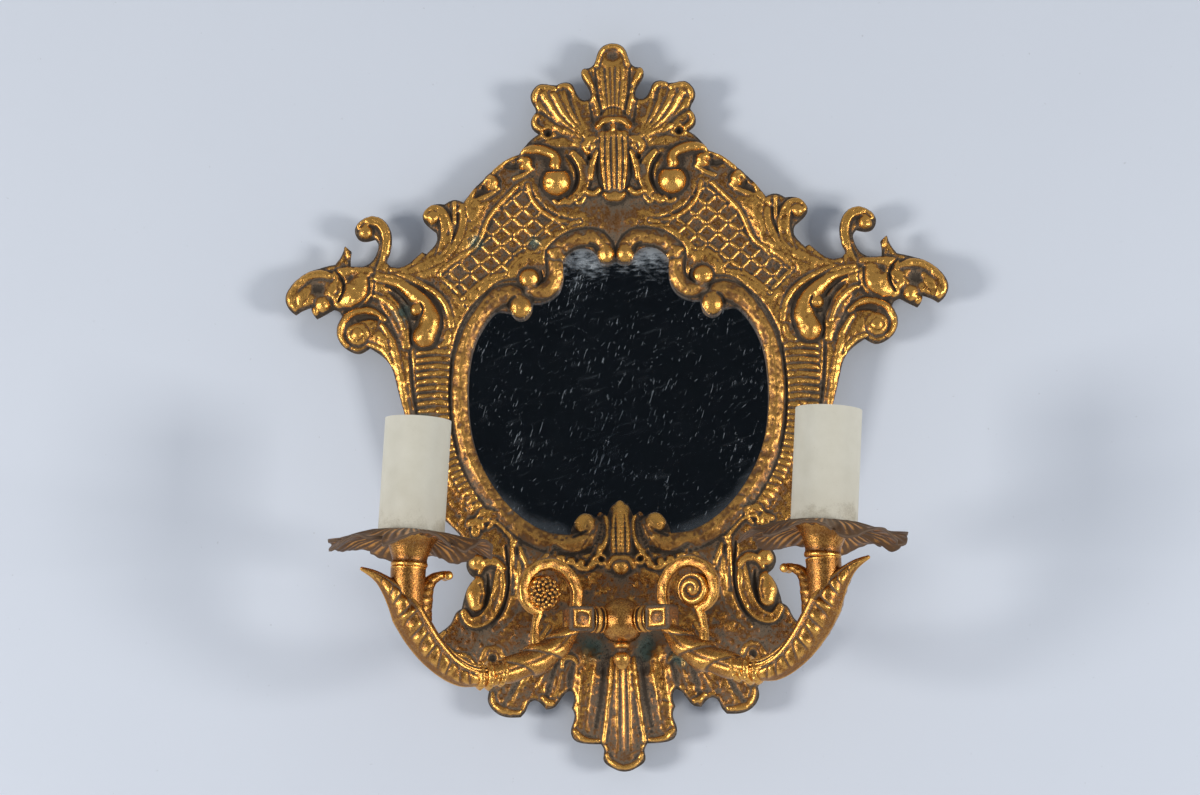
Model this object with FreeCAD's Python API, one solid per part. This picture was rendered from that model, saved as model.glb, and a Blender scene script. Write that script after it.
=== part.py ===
"""Girandole mirror: a cast gilt rococo wall mirror with two candle arms.

Millimetres, +Z up. The wall is the plane Y = 0 and the front looks along -Y.
The origin is the centre of the hanger's keyhole, on the wall.
Shapes on the face are drawn by x and z from the middle of the glass, and "depth"
is the distance from the wall. The face is symmetric, so only its right half is drawn.
"""
import FreeCAD, Part
import os
from math import atan2, cos, degrees, pi, radians, sin, sqrt

os.makedirs("parts", exist_ok=True)
V = FreeCAD.Vector

# ---------------------------------------------------------------- driving dimensions
FACE_WIDTH = 285.0            # over the two wing tips
FACE_HEIGHT = 315.0           # crest leaf to the bottom leaf
DRAWN_WIDTH = 285.0           # extents of the outline as it is drawn below
DRAWN_HEIGHT = 310.5
HANGER_ABOVE_GLASS = 96.0     # keyhole above the middle of the glass

PLATE_BACK = 8.0              # depth of the hollow behind the cast plate
PLATE_THICK = 4.0
SKIRT_WALL = 4.0              # rear rim of the casting that meets the wall
OPENING_HIDDEN = 0.8          # the plate stops this far behind the moulding's edge

GLASS_THICK = 3.0
BOARD_THICK = 2.0
CLIP_THICK = 1.0
CLIP_WIDTH = 8.0
CLIP_LENGTH = 16.0            # from its screw to its tip
CLIP_LIFT = 0.05              # air under a clip, so that it turns
CLIP_SCREW_RADIUS = 1.5
CLIP_HEAD_RADIUS = 3.0
CLIP_HEAD_THICK = 0.8
CLIP_SCREW_DEPTH = 5.0        # thread in the pad
CLIP_PAD_RADIUS = 4.5
TURNING_FIT = 0.1

HANGER_THICK = 2.0
HANGER_WIDTH = 34.0
HANGER_HEIGHT = 16.0
HANGER_TOP = 9.5              # top edge of the plate above the keyhole's centre
KEYHOLE_RADIUS = 4.25
KEYHOLE_SLOT = 4.5            # width of the slot above the keyhole
KEYHOLE_RISE = 6.5            # keyhole centre to the end of the slot
HANGER_SCREW_SPACING = 26.0
HANGER_SCREW_RADIUS = 1.5
HANGER_HEAD_RADIUS = 3.0
HANGER_HEAD_DEEP = 1.5        # countersunk, flush with the wall
HANGER_BOSS_RADIUS = 4.0

HUB_BELOW_GLASS = 99.5
HUB_DEPTH = 38.0
HUB_RADIUS = 9.3
HUB_SEAT_FLAT = 1.3           # how far the ball is flattened where it sits on its boss
HUB_ARM_FLAT = 1.0            # the same under each arm's collar
HUB_DROP_FLAT = 0.6           # the same above the drop
HUB_BOSS_RADIUS = 7.0
HUB_STUD_RADIUS = 3.0
HUB_STUD_TIP = 4.0            # rear stud stops this far behind the ball's centre
HUB_NUT_FLATS = 10.0
HUB_NUT_THICK = 4.0
WASHER_RADIUS = 6.5
WASHER_THICK = 1.0
THREAD_FIT = 0.05             # air round every stud in its hole
END_AIR = 0.5                 # air past the end of a stud in a blind hole

ARM_SPLAY_LEFT = 22.5         # degrees that each arm turns out from the wall
ARM_SPLAY_RIGHT = 27.5
ARM_REACH = 92.0              # hub axis to candle axis
COLLAR_LENGTH = 5.2
COLLAR_RADIUS = 5.6
COLLAR_BEVEL = 1.2            # the ring's edges are this much lower than its band
COLLAR_BAND = 2.0
KNUCKLE_LENGTH = 11.0
KNUCKLE_WIDTH = 10.5
KNUCKLE_ROUND = 1.6
ARM_STUD_RADIUS = 2.5
ARM_STUD_IN_BALL = 3.5
ARM_STUD_IN_KNUCKLE = 8.0
SCROLL_EYE_RADIUS = 6.8
SCROLL_EYE_THICK = 5.2
SCROLL_EYE_ROUND = 1.6
KNOT_RADIUS = 5.8
KNOT_RING = 3.6               # width of each ring round the knot
KNOT_BEVEL = 1.2
LEAF_CURL_RADIUS = 2.4        # rolled lip of the inner leaf
LEAF_CURL_WIDTH = 6.0
SEAT_RISE = 20.0              # top of the horn above the hub's centre
HORN_TOP_RADIUS = 8.0
HORN_LIP = 1.6                # the seat is cut this much wider than the horn's top

FINIAL_LENGTH = 12.0
FINIAL_RADIUS = 3.6
FINIAL_PIN_RADIUS = 1.5
FINIAL_PIN_LENGTH = 3.5
FINIAL_PROFILE = [(0, 1), (0.35, 0.92), (0.8, 0.78), (1, 0.6), (0.85, 0.42), (0.5, 0.3), (0.85, 0.2),
                  (0.85, 0.08), (0.6, 0)]    # shares of its radius and of its length below the seat

CANDLE_LEAN = 4.0             # degrees, both candles lean towards +X
NIPPLE_RADIUS = 5.0
NIPPLE_IN_HORN = 12.0
CUP_HEIGHT = 12.5
CUP_FOOT_RADIUS = 7.2
CUP_WAIST_RADIUS = 7.8
CUP_WAIST_HEIGHT = 5.6
CUP_TOP_RADIUS = 11.5
PAN_THICK = 1.8
PAN_FLAT_RADIUS = 15.0
PAN_RADIUS = 34.0
PAN_DROOP = 9.5
PAN_PETALS = 6
PAN_NOTCH_RADIUS = 5.0
PAN_NOTCH_DEPTH = 3.0         # how far each notch cuts in from the rim
PAN_EDGE_TAPER = 0.4
PAN_TURN_LEFT = 10.0          # degrees that each pan is screwed round
PAN_TURN_RIGHT = 35.0
NUT_FLATS = 15.0
NUT_THICK = 2.5
HOLDER_RADIUS = 11.7
HOLDER_HEIGHT = 38.5
HOLDER_FLOOR = 10.0           # depth of the threaded foot
HOLDER_FLOOR_THICK = 2.0
SHELL_BORE_RADIUS = 6.95      # E14 socket
SHELL_THICK = 0.6
SHELL_HEIGHT = 17.0
SHELL_FIT = 0.05
CONTACT_RADIUS = 2.5
CONTACT_HEIGHT = 4.0
CONTACT_DOME = 1.2
SLEEVE_RADIUS = 13.5
SLEEVE_FIT = 0.3              # air between the sleeve and the lampholder
SLEEVE_HEIGHT = 46.0

# ---------------------------------------------------------------- worked out
GROUND = PLATE_BACK + PLATE_THICK
GLASS_BACK = PLATE_BACK - GLASS_THICK
BOARD_BACK = GLASS_BACK - BOARD_THICK
CLIP_BACK = BOARD_BACK - CLIP_LIFT - CLIP_THICK
HUB_SEAT_DEPTH = HUB_DEPTH - HUB_RADIUS + HUB_SEAT_FLAT
COLLAR_START = HUB_RADIUS - HUB_ARM_FLAT
KNUCKLE_START = COLLAR_START + COLLAR_LENGTH
KNUCKLE_END = KNUCKLE_START + KNUCKLE_LENGTH
SLEEVE_FOOT = CUP_HEIGHT + PAN_THICK
SLEEVE_BORE = HOLDER_RADIUS + SLEEVE_FIT
HOLDER_FOOT = SLEEVE_FOOT + NUT_THICK

# ---------------------------------------------------------------- outlines, right half
# Each run is one smooth stretch, and the corners lie where runs meet.
FACE_OUTLINE = [
    [(0, 152), (3.5, 151.3), (5.8, 149), (7.2, 145), (9.3, 141.8), (12.3, 141.2)],
    [(12.3, 141.2), (13.5, 139.6), (12.2, 135.6), (10, 131.6), (10.2, 128), (12.8, 127.4), (16.3, 131.5)],
    [(16.3, 131.5), (18, 134.6), (21, 135.3), (24.5, 134)],
    [(24.5, 134), (28, 134.3), (31.5, 134.6), (34.6, 132.3), (35.8, 128.8), (34.2, 125.4)],
    [(34.2, 125.4), (33.6, 122.6), (35.3, 119.8), (35.6, 116.5), (32, 113.1)],
    [(32, 113.1), (35.5, 110.7), (38.8, 107), (41, 103.9)],
    [(41, 103.9), (46, 101.8), (52, 97.5), (58, 92.2), (65.3, 83.3)],
    [(65.3, 83.3), (69.5, 84.7), (73.6, 82.9)],
    [(73.6, 82.9), (77, 83.1), (81, 81.2), (83.2, 77.5), (80.8, 73.8), (77.6, 71.2)],
    [(77.6, 71.2), (76.9, 67.8), (78.6, 64.4), (81.5, 61.3)],
    [(81.5, 61.3), (83.5, 62.2)],
    [(83.5, 62.2), (87.8, 58.3), (93.3, 55.6), (97, 56.2)],
    [(97, 56.2), (98.9, 58.5), (97.7, 62)],
    [(97.7, 62), (96.7, 69), (97.5, 73), (101, 77.2), (106, 78.2), (110.5, 76), (112.5, 72), (110.8, 68.6),
     (107.5, 67.9), (104, 68.7)],
    [(104, 68.7), (102.5, 66.5), (103, 62.5), (106, 58), (110, 56.4), (114.5, 56.6)],
    [(114.5, 56.6), (114.7, 60), (114.2, 63.3)],
    [(114.2, 63.3), (116.9, 65.6)],
    [(116.9, 65.6), (118.3, 61.5), (121, 57.7)],
    [(121, 57.7), (131, 55), (137, 51.5), (141, 47.3), (142.5, 42.8), (140.8, 38.6), (138.3, 36.6)],
    [(138.3, 36.6), (135.6, 38.3), (131.4, 39.8)],
    [(131.4, 39.8), (130.7, 36.5), (129.2, 34.7)],
    [(129.2, 34.7), (125.5, 36.6), (121.9, 38.6)],
    [(121.9, 38.6), (119.5, 37.6), (118.2, 35)],
    [(118.2, 35), (120.4, 30), (119.3, 24.3), (115.5, 20.8), (111, 19.4), (106.4, 21.7)],
    [(106.4, 21.7), (102, 18.8), (98, 14.6), (94.5, 4), (91.3, -8), (87.5, -25), (82.5, -42)],
    [(82.5, -42), (81, -46.5), (77.5, -50)],
    [(77.5, -50), (72.5, -54.5), (67.5, -60), (63.5, -66.5)],
    [(63.5, -66.5), (65.6, -70.5), (64.6, -75), (61.8, -77.3)],
    [(61.8, -77.3), (64.6, -80.5), (66.6, -85), (67.8, -89.8)],
    [(67.8, -89.8), (70.2, -91.6), (72.5, -96), (75.5, -98.6), (78.6, -100.6)],
    [(78.6, -100.6), (79.3, -104), (77.4, -107.8), (73.8, -110)],
    [(73.8, -110), (71.8, -113.5), (68.5, -116.3), (59, -121.5), (56.6, -124.6)],
    [(56.6, -124.6), (57.2, -128), (55.3, -132), (51, -134.8), (43.5, -135.3)],
    [(43.5, -135.3), (41.2, -132.5), (40, -129.8), (37.5, -128.4), (35.3, -129.4), (32.7, -132.3)],
    [(32.7, -132.3), (29.5, -131.6), (26.8, -128.6), (24.5, -125.8), (22.2, -124.8), (20.8, -127.5),
     (21.8, -132)],
    [(21.8, -132), (20.7, -135), (22.3, -141.5), (21.3, -144.8), (17, -146.6), (9.8, -147)],
    [(9.8, -147), (8.5, -149.5), (8.8, -153.5), (4.5, -157.3), (0, -158.5)],
]

OPENING_OUTLINE = [
    [(0, 57.5), (3.2, 56), (7, 57.2)],
    [(7, 57.2), (9.5, 61.5), (14, 63.2), (19, 61.7), (23, 57.6)],
    [(23, 57.6), (22.8, 51), (25.4, 43.8), (31, 40.3), (36, 39.8)],
    [(36, 39.8), (38.2, 34.5), (41.8, 32.8), (45.5, 35.8)],
    [(45.5, 35.8), (51, 36.5), (56.5, 31.5), (61.4, 22.5), (64.2, 8), (64.1, -8), (61.3, -23), (54.6, -37.5),
     (44.5, -50), (31, -58.2), (21.5, -60)],
    [(21.5, -60), (19.4, -54.5), (15, -51), (10.2, -52.8)],
    [(10.2, -52.8), (8.8, -50.6), (5.6, -52.6)],
    [(5.6, -52.6), (3.6, -48.2), (0, -45.6)],
]

GLASS_OUTLINE = [
    [(0, 72), (25, 70), (46, 59.5), (61, 41), (69, 18), (69.6, -4), (66, -23), (55.5, -45), (39, -60),
     (20, -67.5), (0, -69)],
]

SKIRT_OUTLINE = [
    [(0, 111), (22, 109), (45, 93), (61, 76), (72, 63), (84, 50), (90.5, 34), (91, 12), (88.5, -10), (84, -29),
     (77, -46), (66, -57.5), (59.5, -70), (60.5, -82), (66.5, -94), (68, -104), (60, -114), (44, -121),
     (22, -119.5), (0, -124)],
]

# ---------------------------------------------------------------- raised ornament, right half
# Each entry: the points its middle line passes, and its radius at the first and last point.
RIM = [
    ([(12, -56.5), (14.2, -61), (22, -63.4), (33, -61.8), (46.5, -52.6), (57.5, -39.2), (64.6, -24), (67.4, -8),
      (67.3, 9), (64.4, 24.5), (58.8, 35), (51.5, 41.6), (45, 43.2), (40.5, 40.4)], 3.2, 3.2),
    ([(36.5, 45.6), (31.5, 44.4), (27, 47.6), (25.5, 53), (26.2, 59)], 2.6, 2.9),
    ([(25.6, 61), (20.5, 65.2), (13.5, 67.2), (7.5, 66.4), (4.4, 62.4)], 2.4, 2.6),
]
RIM_BALLS = [
    ((15, -55.3), 4.3),
    ((41.4, 37.4), 4.6),
    ((37.6, 49.8), 4.3),
    ((4.1, 59.8), 3.7),
]
SCROLLS = [
    # shoulder moulding from the crest to the wing
    ([(36.5, 104), (46, 99.3), (56, 90.8), (63.5, 80.5), (66.5, 70), (74, 61), (86, 53.5), (97, 51.5)], 1.8, 1.6),
    # crest volute round its ball
    ([(35, 97.5), (31, 104.3), (23.5, 105), (17.5, 100), (16.8, 92), (21, 86.6)], 2.0, 2.6),
    # curl above the shoulder
    ([(70, 66), (68.5, 73.5), (71.5, 79), (76.5, 80)], 2.6, 2.4),
    # tall curl
    ([(100.3, 56.5), (100.2, 64), (99.3, 70.5), (103.5, 75.3), (108.6, 73.6)], 2.4, 2.6),
    # shell of the wing tip
    ([(118, 51.5), (126, 52.6), (134.5, 50.2), (139, 44.6), (138.6, 40)], 2.6, 2.2),
    # band that wraps the egg
    ([(112, 52.5), (98, 49), (86, 44.5), (78.5, 37), (76.2, 28)], 2.0, 3.2),
    # outer band of the lower volute
    ([(92.5, 2), (95.3, 14), (99.6, 25), (106, 32.6), (112.5, 34), (117.2, 29.6), (116.6, 24)], 2.0, 2.2),
    # inner ridge beside it
    ([(88, -10), (90.6, 4), (91.6, 16), (91.5, 28), (94, 38)], 1.5, 1.5),
    # curl under the flutes
    ([(46.5, -59), (51, -52.5), (56.5, -50.5), (61, -53.5), (61.5, -58)], 2.4, 2.4),
    # large lower volute
    ([(46, -62), (42.5, -72), (43.5, -84), (49, -94), (57, -98.5), (64, -95.5)], 2.6, 2.6),
    ([(58, -69), (52, -75), (51.5, -84), (56.5, -92), (63, -91.5)], 2.2, 2.2),
    # ribs of the bottom leaves
    ([(0, -117), (0, -134), (0, -154)], 4.5, 2.4),
    ([(7, -114), (11.5, -128), (15, -142)], 3.6, 2.6),
    ([(23, -113), (27, -120), (30.5, -128)], 3.2, 2.2),
    ([(32, -112), (41, -121), (48, -130)], 4.2, 3.0),
]
BALLS = [
    ((24.5, 95), 6.2),
    ((79, 76.8), 3.4),
    ((108.8, 70.6), 2.6),
    ((83, 25), 6.2),
    ((114, 46), 4.6),
    ((127, 40.5), 4.4),
    ((112, 27.5), 4.6),
    ((61.5, -71.5), 3.7),
    ((61.5, -84), 5.0),
    ((41, 99), 2.8),
    ((54, 90.4), 2.8),
]
# pieces on the middle line
CREST_HUSK = ([(0, 117), (0, 110), (0, 101), (0, 92), (0, 83.5)], [7.0, 5.6, 7.4, 6.6, 2.6])
LOWER_HUSK = ([(0, -48.5), (0, -58), (0, -66), (0, -76)], [2.8, 5.2, 5.8, 3.4])
CREST_LEAVES = [
    [(0, 119), (0, 134), (0, 149)],
    [(8, 113), (17, 120), (28, 129)],
]
CREST_LEAF_RADII = (4.5, 2.6)

LATTICE_OUTLINE = [
    [(37.1, 90.1), (30, 81), (15.3, 74.3)],
    [(15.3, 74.3), (24.5, 70.2), (34.6, 61.8)],
    [(34.6, 61.8), (42, 59.3), (47.7, 52.2)],
    [(47.7, 52.2), (57.5, 49.5), (66.1, 41.6)],
    [(66.1, 41.6), (72, 46.3), (75.5, 52.6)],
    [(75.5, 52.6), (62, 64.5), (52, 79), (42.3, 89.9), (37.1, 90.1)],
]
LATTICE_SINK = 0.8
CLIP_SPOTS = [("upper", 66.5, 50.5), ("lower", 60.3, -50.3)]
RIM_LIFT = 1.2                # middle of the rim moulding in front of the plate
RIM_BALL_LIFT = 0.9
BEHIND = 40.0                 # deep enough to clear anything behind the plate


# ---------------------------------------------------------------- helpers
def face(x, z, depth=0.0):
    """A point of the drawn face at a depth from the wall."""
    return V(x * FACE_WIDTH / DRAWN_WIDTH, -depth, z * FACE_HEIGHT / DRAWN_HEIGHT - HANGER_ABOVE_GLASS)


def smooth_edge(points):
    if len(points) == 2:
        return Part.makeLine(points[0], points[1])
    curve = Part.BSplineCurve()
    curve.interpolate(points)
    return curve.toShape()


def flip(points):
    return [(-x, z) for x, z in reversed(points)]


def whole(runs):
    """The runs of the right half, then their mirror image, as one closed round."""
    return runs + [flip(run) for run in reversed(runs)]


def outline_wire(runs, depth):
    return Part.Wire([smooth_edge([face(x, z, depth) for x, z in run]) for run in runs])


def slab(runs, depth_from, depth_to):
    """The outline as a flat slab between two depths."""
    outline = Part.Face(outline_wire(runs, depth_from))
    return outline.extrude(V(0, depth_from - depth_to, 0))


def inset(runs, distance):
    """The runs moved inwards by a distance, square to the line at each point."""
    line = runs[0][:1]
    for run in runs:
        line = line + run[1:]
    moved = []
    for i, (x, z) in enumerate(line):
        before = line[max(i - 1, 0)]
        after = line[min(i + 1, len(line) - 1)]
        along_x = after[0] - before[0]
        along_z = after[1] - before[1]
        if x == 0:
            along_z = 0.0
        length = sqrt(along_x ** 2 + along_z ** 2)
        moved.append((x + along_z / length * distance, z - along_x / length * distance))
    split = []
    start = 0
    for run in runs:
        split.append(moved[start:start + len(run)])
        start += len(run) - 1
    return split


def section(centre, along, across, radius, flat=1.0):
    """A round or flattened section of a tube, square to its middle line."""
    side = along.cross(across)
    side.normalize()
    placement = FreeCAD.Placement(centre, FreeCAD.Rotation(across, side, along, "ZXY"))
    if flat == 1.0:
        edge = Part.makeCircle(radius)
    else:
        edge = Part.Ellipse(V(0, 0, 0), radius, radius * flat).toShape()
    wire = Part.Wire([edge])
    wire.Placement = placement
    return wire


def tapered_tube(points, radii, across=V(0, 1, 0), flat=1.0):
    """A round bar along a smooth line; its radius follows the list from end to end."""
    curve = Part.BSplineCurve()
    curve.interpolate(points)
    stations = 2 * len(points) + 1
    wires = []
    for i in range(stations):
        share = i / (stations - 1)
        at = curve.FirstParameter + share * (curve.LastParameter - curve.FirstParameter)
        along = curve.tangent(at)[0]
        place = share * (len(radii) - 1)
        step = min(int(place), len(radii) - 2)
        radius = radii[step] + (radii[step + 1] - radii[step]) * (place - step)
        wires.append(section(curve.value(at), along, across, radius, flat))
    return Part.makeLoft(wires, True, False)


def moulding(points, start_radius, end_radius, depth=GROUND):
    return tapered_tube([face(x, z, depth) for x, z in points], [start_radius, end_radius])


def ball(x, z, radius, depth=GROUND):
    return Part.makeSphere(radius, face(x, z, depth))


def both_sides(shape):
    """A shape of the right half and its mirror image."""
    return [shape, shape.mirror(V(0, 0, 0), V(1, 0, 0))]


def rod(radius, start, end):
    along = end - start
    return Part.makeCylinder(radius, along.Length, start, along)


def hexagon(flats, thick, centre, along):
    """A nut blank: its across-flats size and thickness, from its first face."""
    corner = flats / sqrt(3)
    points = [V(corner * cos(i * pi / 3), corner * sin(i * pi / 3), 0) for i in range(7)]
    nut = Part.Face(Part.makePolygon(points)).extrude(V(0, 0, thick))
    nut.Placement = FreeCAD.Placement(centre, FreeCAD.Rotation(V(0, 0, 1), along))
    return nut


def fused(shapes):
    return shapes[0].multiFuse(shapes[1:]).removeSplitter()


def turned(points):
    """A solid of revolution about Z from its half section (radius, height)."""
    profile = [V(r, 0, z) for r, z in points]
    return Part.Face(Part.makePolygon(profile + [profile[0]])).revolve(V(0, 0, 0), V(0, 0, 1), 360)


def save(name, shape):
    shape.exportStep("parts/" + name + ".step")
    solids = shape.Solids
    print(f"{name}: {len(solids)} solid, {shape.Volume:.0f} mm3, valid {shape.isValid()}")


# ---------------------------------------------------------------- the casting
def casting_plate():
    """The cast plate, pierced for the glass and sunk where the lattice lies."""
    plate = slab(whole(FACE_OUTLINE), PLATE_BACK, GROUND)
    wider = inset(OPENING_OUTLINE, -OPENING_HIDDEN)
    plate = plate.cut(slab(whole(wider), PLATE_BACK - 1, GROUND + 1))
    for runs in (LATTICE_OUTLINE, [flip(run) for run in reversed(LATTICE_OUTLINE)]):
        plate = plate.cut(slab(runs, GROUND - LATTICE_SINK, GROUND + 1))
    return plate


def casting_ornament():
    """Mouldings, scrolls, balls and husks that stand on the plate."""
    shapes = []
    for points, start, end in RIM:
        shapes += both_sides(moulding(points, start, end, GROUND + RIM_LIFT))
    for (x, z), radius in RIM_BALLS:
        shapes += both_sides(ball(x, z, radius, GROUND + RIM_BALL_LIFT))
    for points, start, end in SCROLLS:
        bar = moulding(points, start, end)
        shapes += [bar] if points[0][0] == 0 else both_sides(bar)
    for (x, z), radius in BALLS:
        shapes += both_sides(ball(x, z, radius))
    for points in CREST_LEAVES:
        bar = moulding(points, *CREST_LEAF_RADII)
        shapes += [bar] if points[0][0] == 0 else both_sides(bar)
    for points, radii in (CREST_HUSK, LOWER_HUSK):
        shapes.append(tapered_tube([face(x, z, GROUND) for x, z in points], radii))
    return shapes


def casting_rear():
    """The rear rim that meets the wall, the pads for the clips and the bosses."""
    skirt = slab(whole(SKIRT_OUTLINE), 0, PLATE_BACK)
    shapes = [skirt.cut(slab(whole(inset(SKIRT_OUTLINE, SKIRT_WALL)), -1, PLATE_BACK + 1))]
    for _, x, z in CLIP_SPOTS:
        shapes += both_sides(rod(CLIP_PAD_RADIUS, face(x, z, BOARD_BACK), face(x, z, GROUND - 1)))
    boss = rod(HANGER_BOSS_RADIUS, V(hanger_screw_x(), -HANGER_THICK, 0), V(hanger_screw_x(), 1 - GROUND, 0))
    shapes += both_sides(boss)
    shapes.append(rod(HUB_BOSS_RADIUS, at_hub_axis(PLATE_BACK), at_hub_axis(HUB_SEAT_DEPTH)))
    return shapes


def casting_holes():
    holes = [rod(HUB_STUD_RADIUS + THREAD_FIT, at_hub_axis(0), at_hub_axis(HUB_SEAT_DEPTH + 1))]
    for _, x, z in CLIP_SPOTS:
        radius = CLIP_SCREW_RADIUS + THREAD_FIT
        holes += both_sides(rod(radius, face(x, z, BOARD_BACK - 1), face(x, z, BOARD_BACK + CLIP_SCREW_DEPTH)))
    radius = HANGER_SCREW_RADIUS + THREAD_FIT
    holes += both_sides(rod(radius, V(hanger_screw_x(), 0, 0), V(hanger_screw_x(), -PLATE_BACK - 1, 0)))
    return holes


def frame_casting():
    relief = casting_plate().multiFuse(casting_ornament())
    size = 2 * FACE_HEIGHT
    hollow = Part.makeBox(size, BEHIND, size, V(-size / 2, -PLATE_BACK, -size / 2))
    casting = relief.cut(hollow).multiFuse(casting_rear())
    return casting.cut(Part.makeCompound(casting_holes())).removeSplitter()


# ---------------------------------------------------------------- mirror and back
def turn_clip(x, z):
    """A strip that swings about its screw over the edge of the board."""
    strip = Part.makeBox(CLIP_LENGTH, CLIP_THICK, CLIP_WIDTH, V(0, 0, -CLIP_WIDTH / 2))
    for end in (0, CLIP_LENGTH):
        strip = strip.fuse(rod(CLIP_WIDTH / 2, V(end, 0, 0), V(end, CLIP_THICK, 0)))
    hole = rod(CLIP_SCREW_RADIUS + TURNING_FIT, V(0, -1, 0), V(0, CLIP_THICK + 1, 0))
    strip = strip.removeSplitter().cut(hole)
    centre = face(x, z, BOARD_BACK - CLIP_LIFT)
    inwards = degrees(atan2(-z, -x))
    strip.Placement = FreeCAD.Placement(centre, FreeCAD.Rotation(V(0, -1, 0), inwards))
    return strip


def clip_screw(x, z):
    head_top = CLIP_BACK - CLIP_LIFT - CLIP_HEAD_THICK
    head = rod(CLIP_HEAD_RADIUS, face(x, z, head_top), face(x, z, CLIP_BACK - CLIP_LIFT))
    shank = rod(CLIP_SCREW_RADIUS, face(x, z, CLIP_BACK - CLIP_LIFT), face(x, z, BOARD_BACK + CLIP_SCREW_DEPTH))
    return head.fuse(shank).removeSplitter()


def hanger_screw_x():
    return HANGER_SCREW_SPACING / 2


def countersunk(x, air, length):
    """A screw with a flush cone head, or the hole for it, from the wall plane forward."""
    neck = HANGER_SCREW_RADIUS + air
    outline = [(0, 0), (HANGER_HEAD_RADIUS + air, 0), (neck, HANGER_HEAD_DEEP), (neck, length), (0, length)]
    shape = turned(outline)
    shape.Placement = FreeCAD.Placement(V(x, 0, 0), FreeCAD.Rotation(V(0, 0, 1), V(0, -1, 0)))
    return shape


def hanger_plate():
    plate = Part.makeBox(HANGER_WIDTH, HANGER_THICK, HANGER_HEIGHT)
    plate.translate(V(-HANGER_WIDTH / 2, -HANGER_THICK, HANGER_TOP - HANGER_HEIGHT))
    through = V(0, -2 * HANGER_THICK, 0)
    keyhole = rod(KEYHOLE_RADIUS, V(0, 0, 0), through)
    slot = Part.makeBox(KEYHOLE_SLOT, 2 * HANGER_THICK, KEYHOLE_RISE)
    slot.translate(V(-KEYHOLE_SLOT / 2, 0, 0) + through)
    slot_end = rod(KEYHOLE_SLOT / 2, V(0, 0, KEYHOLE_RISE), V(0, 0, KEYHOLE_RISE) + through)
    plate = plate.cut(keyhole.fuse([slot, slot_end]))
    for side in (-1, 1):
        plate = plate.cut(countersunk(side * hanger_screw_x(), THREAD_FIT, 2 * HANGER_THICK))
    return plate


# ---------------------------------------------------------------- hub
def at_hub_axis(depth):
    return face(0, 0, depth) - V(0, 0, HUB_BELOW_GLASS)


HUB = at_hub_axis(HUB_DEPTH)


def arm_placement(side):
    """Where an arm's own frame goes: X out along the arm, Z up, from the hub's centre."""
    turn = -ARM_SPLAY_RIGHT if side > 0 else 180 + ARM_SPLAY_LEFT
    return FreeCAD.Placement(HUB, FreeCAD.Rotation(V(0, 0, 1), turn))


def on_arm(shape, side):
    placed = shape.copy()
    placed.Placement = arm_placement(side).multiply(placed.Placement)
    return placed


def arm_stud():
    start = V(COLLAR_START - ARM_STUD_IN_BALL, 0, 0)
    return rod(ARM_STUD_RADIUS, start, V(KNUCKLE_START + ARM_STUD_IN_KNUCKLE, 0, 0))


def hub_ball():
    shape = Part.makeSphere(HUB_RADIUS, HUB)
    size = 4 * HUB_RADIUS
    behind = Part.makeBox(size, size, size, HUB + V(-size / 2, HUB_DEPTH - HUB_SEAT_DEPTH, -size / 2))
    shape = shape.cut(behind)
    rear = HUB + V(0, HUB_STUD_TIP - END_AIR, 0)
    shape = shape.cut(rod(HUB_STUD_RADIUS + THREAD_FIT, rear, HUB + V(0, HUB_RADIUS, 0)))
    hole_start = V(COLLAR_START - ARM_STUD_IN_BALL - END_AIR, 0, 0)
    for side in (-1, 1):
        beyond = Part.makeBox(size, size, size, V(COLLAR_START, -size / 2, -size / 2))
        hole = rod(ARM_STUD_RADIUS + THREAD_FIT, hole_start, V(HUB_RADIUS + 1, 0, 0))
        shape = shape.cut(on_arm(beyond, side)).cut(on_arm(hole, side))
    pin_end = finial_seat() + V(0, 0, FINIAL_PIN_LENGTH + END_AIR)
    pin = rod(FINIAL_PIN_RADIUS + THREAD_FIT, HUB + V(0, 0, -HUB_RADIUS - 1), pin_end)
    flat = Part.makeBox(size, size, size, finial_seat() + V(-size / 2, -size / 2, -size))
    return shape.cut(pin).cut(flat)


def finial_seat():
    """Where the drop screws up against the ball."""
    return HUB + V(0, 0, HUB_DROP_FLAT - HUB_RADIUS)


def drop_finial():
    """The bud that hangs under the ball, with its pin."""
    outline = [(r * FINIAL_RADIUS, -z * FINIAL_LENGTH) for r, z in FINIAL_PROFILE]
    pin = [(FINIAL_PIN_RADIUS, 0), (FINIAL_PIN_RADIUS, FINIAL_PIN_LENGTH), (0, FINIAL_PIN_LENGTH)]
    bud = turned(outline + pin)
    bud.translate(finial_seat())
    return bud


def arm_collar():
    """The beaded ring between the ball and the arm's knuckle."""
    edge = COLLAR_RADIUS - COLLAR_BEVEL
    band_start = (COLLAR_LENGTH - COLLAR_BAND) / 2
    band_end = band_start + COLLAR_BAND
    bore = ARM_STUD_RADIUS + THREAD_FIT
    outline = [(bore, 0), (edge, 0), (COLLAR_RADIUS, band_start), (COLLAR_RADIUS, band_end),
               (edge, COLLAR_LENGTH), (bore, COLLAR_LENGTH)]
    ring = turned(outline)
    ring.Placement = FreeCAD.Placement(V(COLLAR_START, 0, 0), FreeCAD.Rotation(V(0, 0, 1), V(1, 0, 0)))
    return ring


def hub_stud():
    return rod(HUB_STUD_RADIUS, at_hub_axis(nut_back() - 1), at_hub_axis(HUB_DEPTH - HUB_STUD_TIP))


def nut_back():
    return PLATE_BACK - WASHER_THICK - HUB_NUT_THICK


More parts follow.
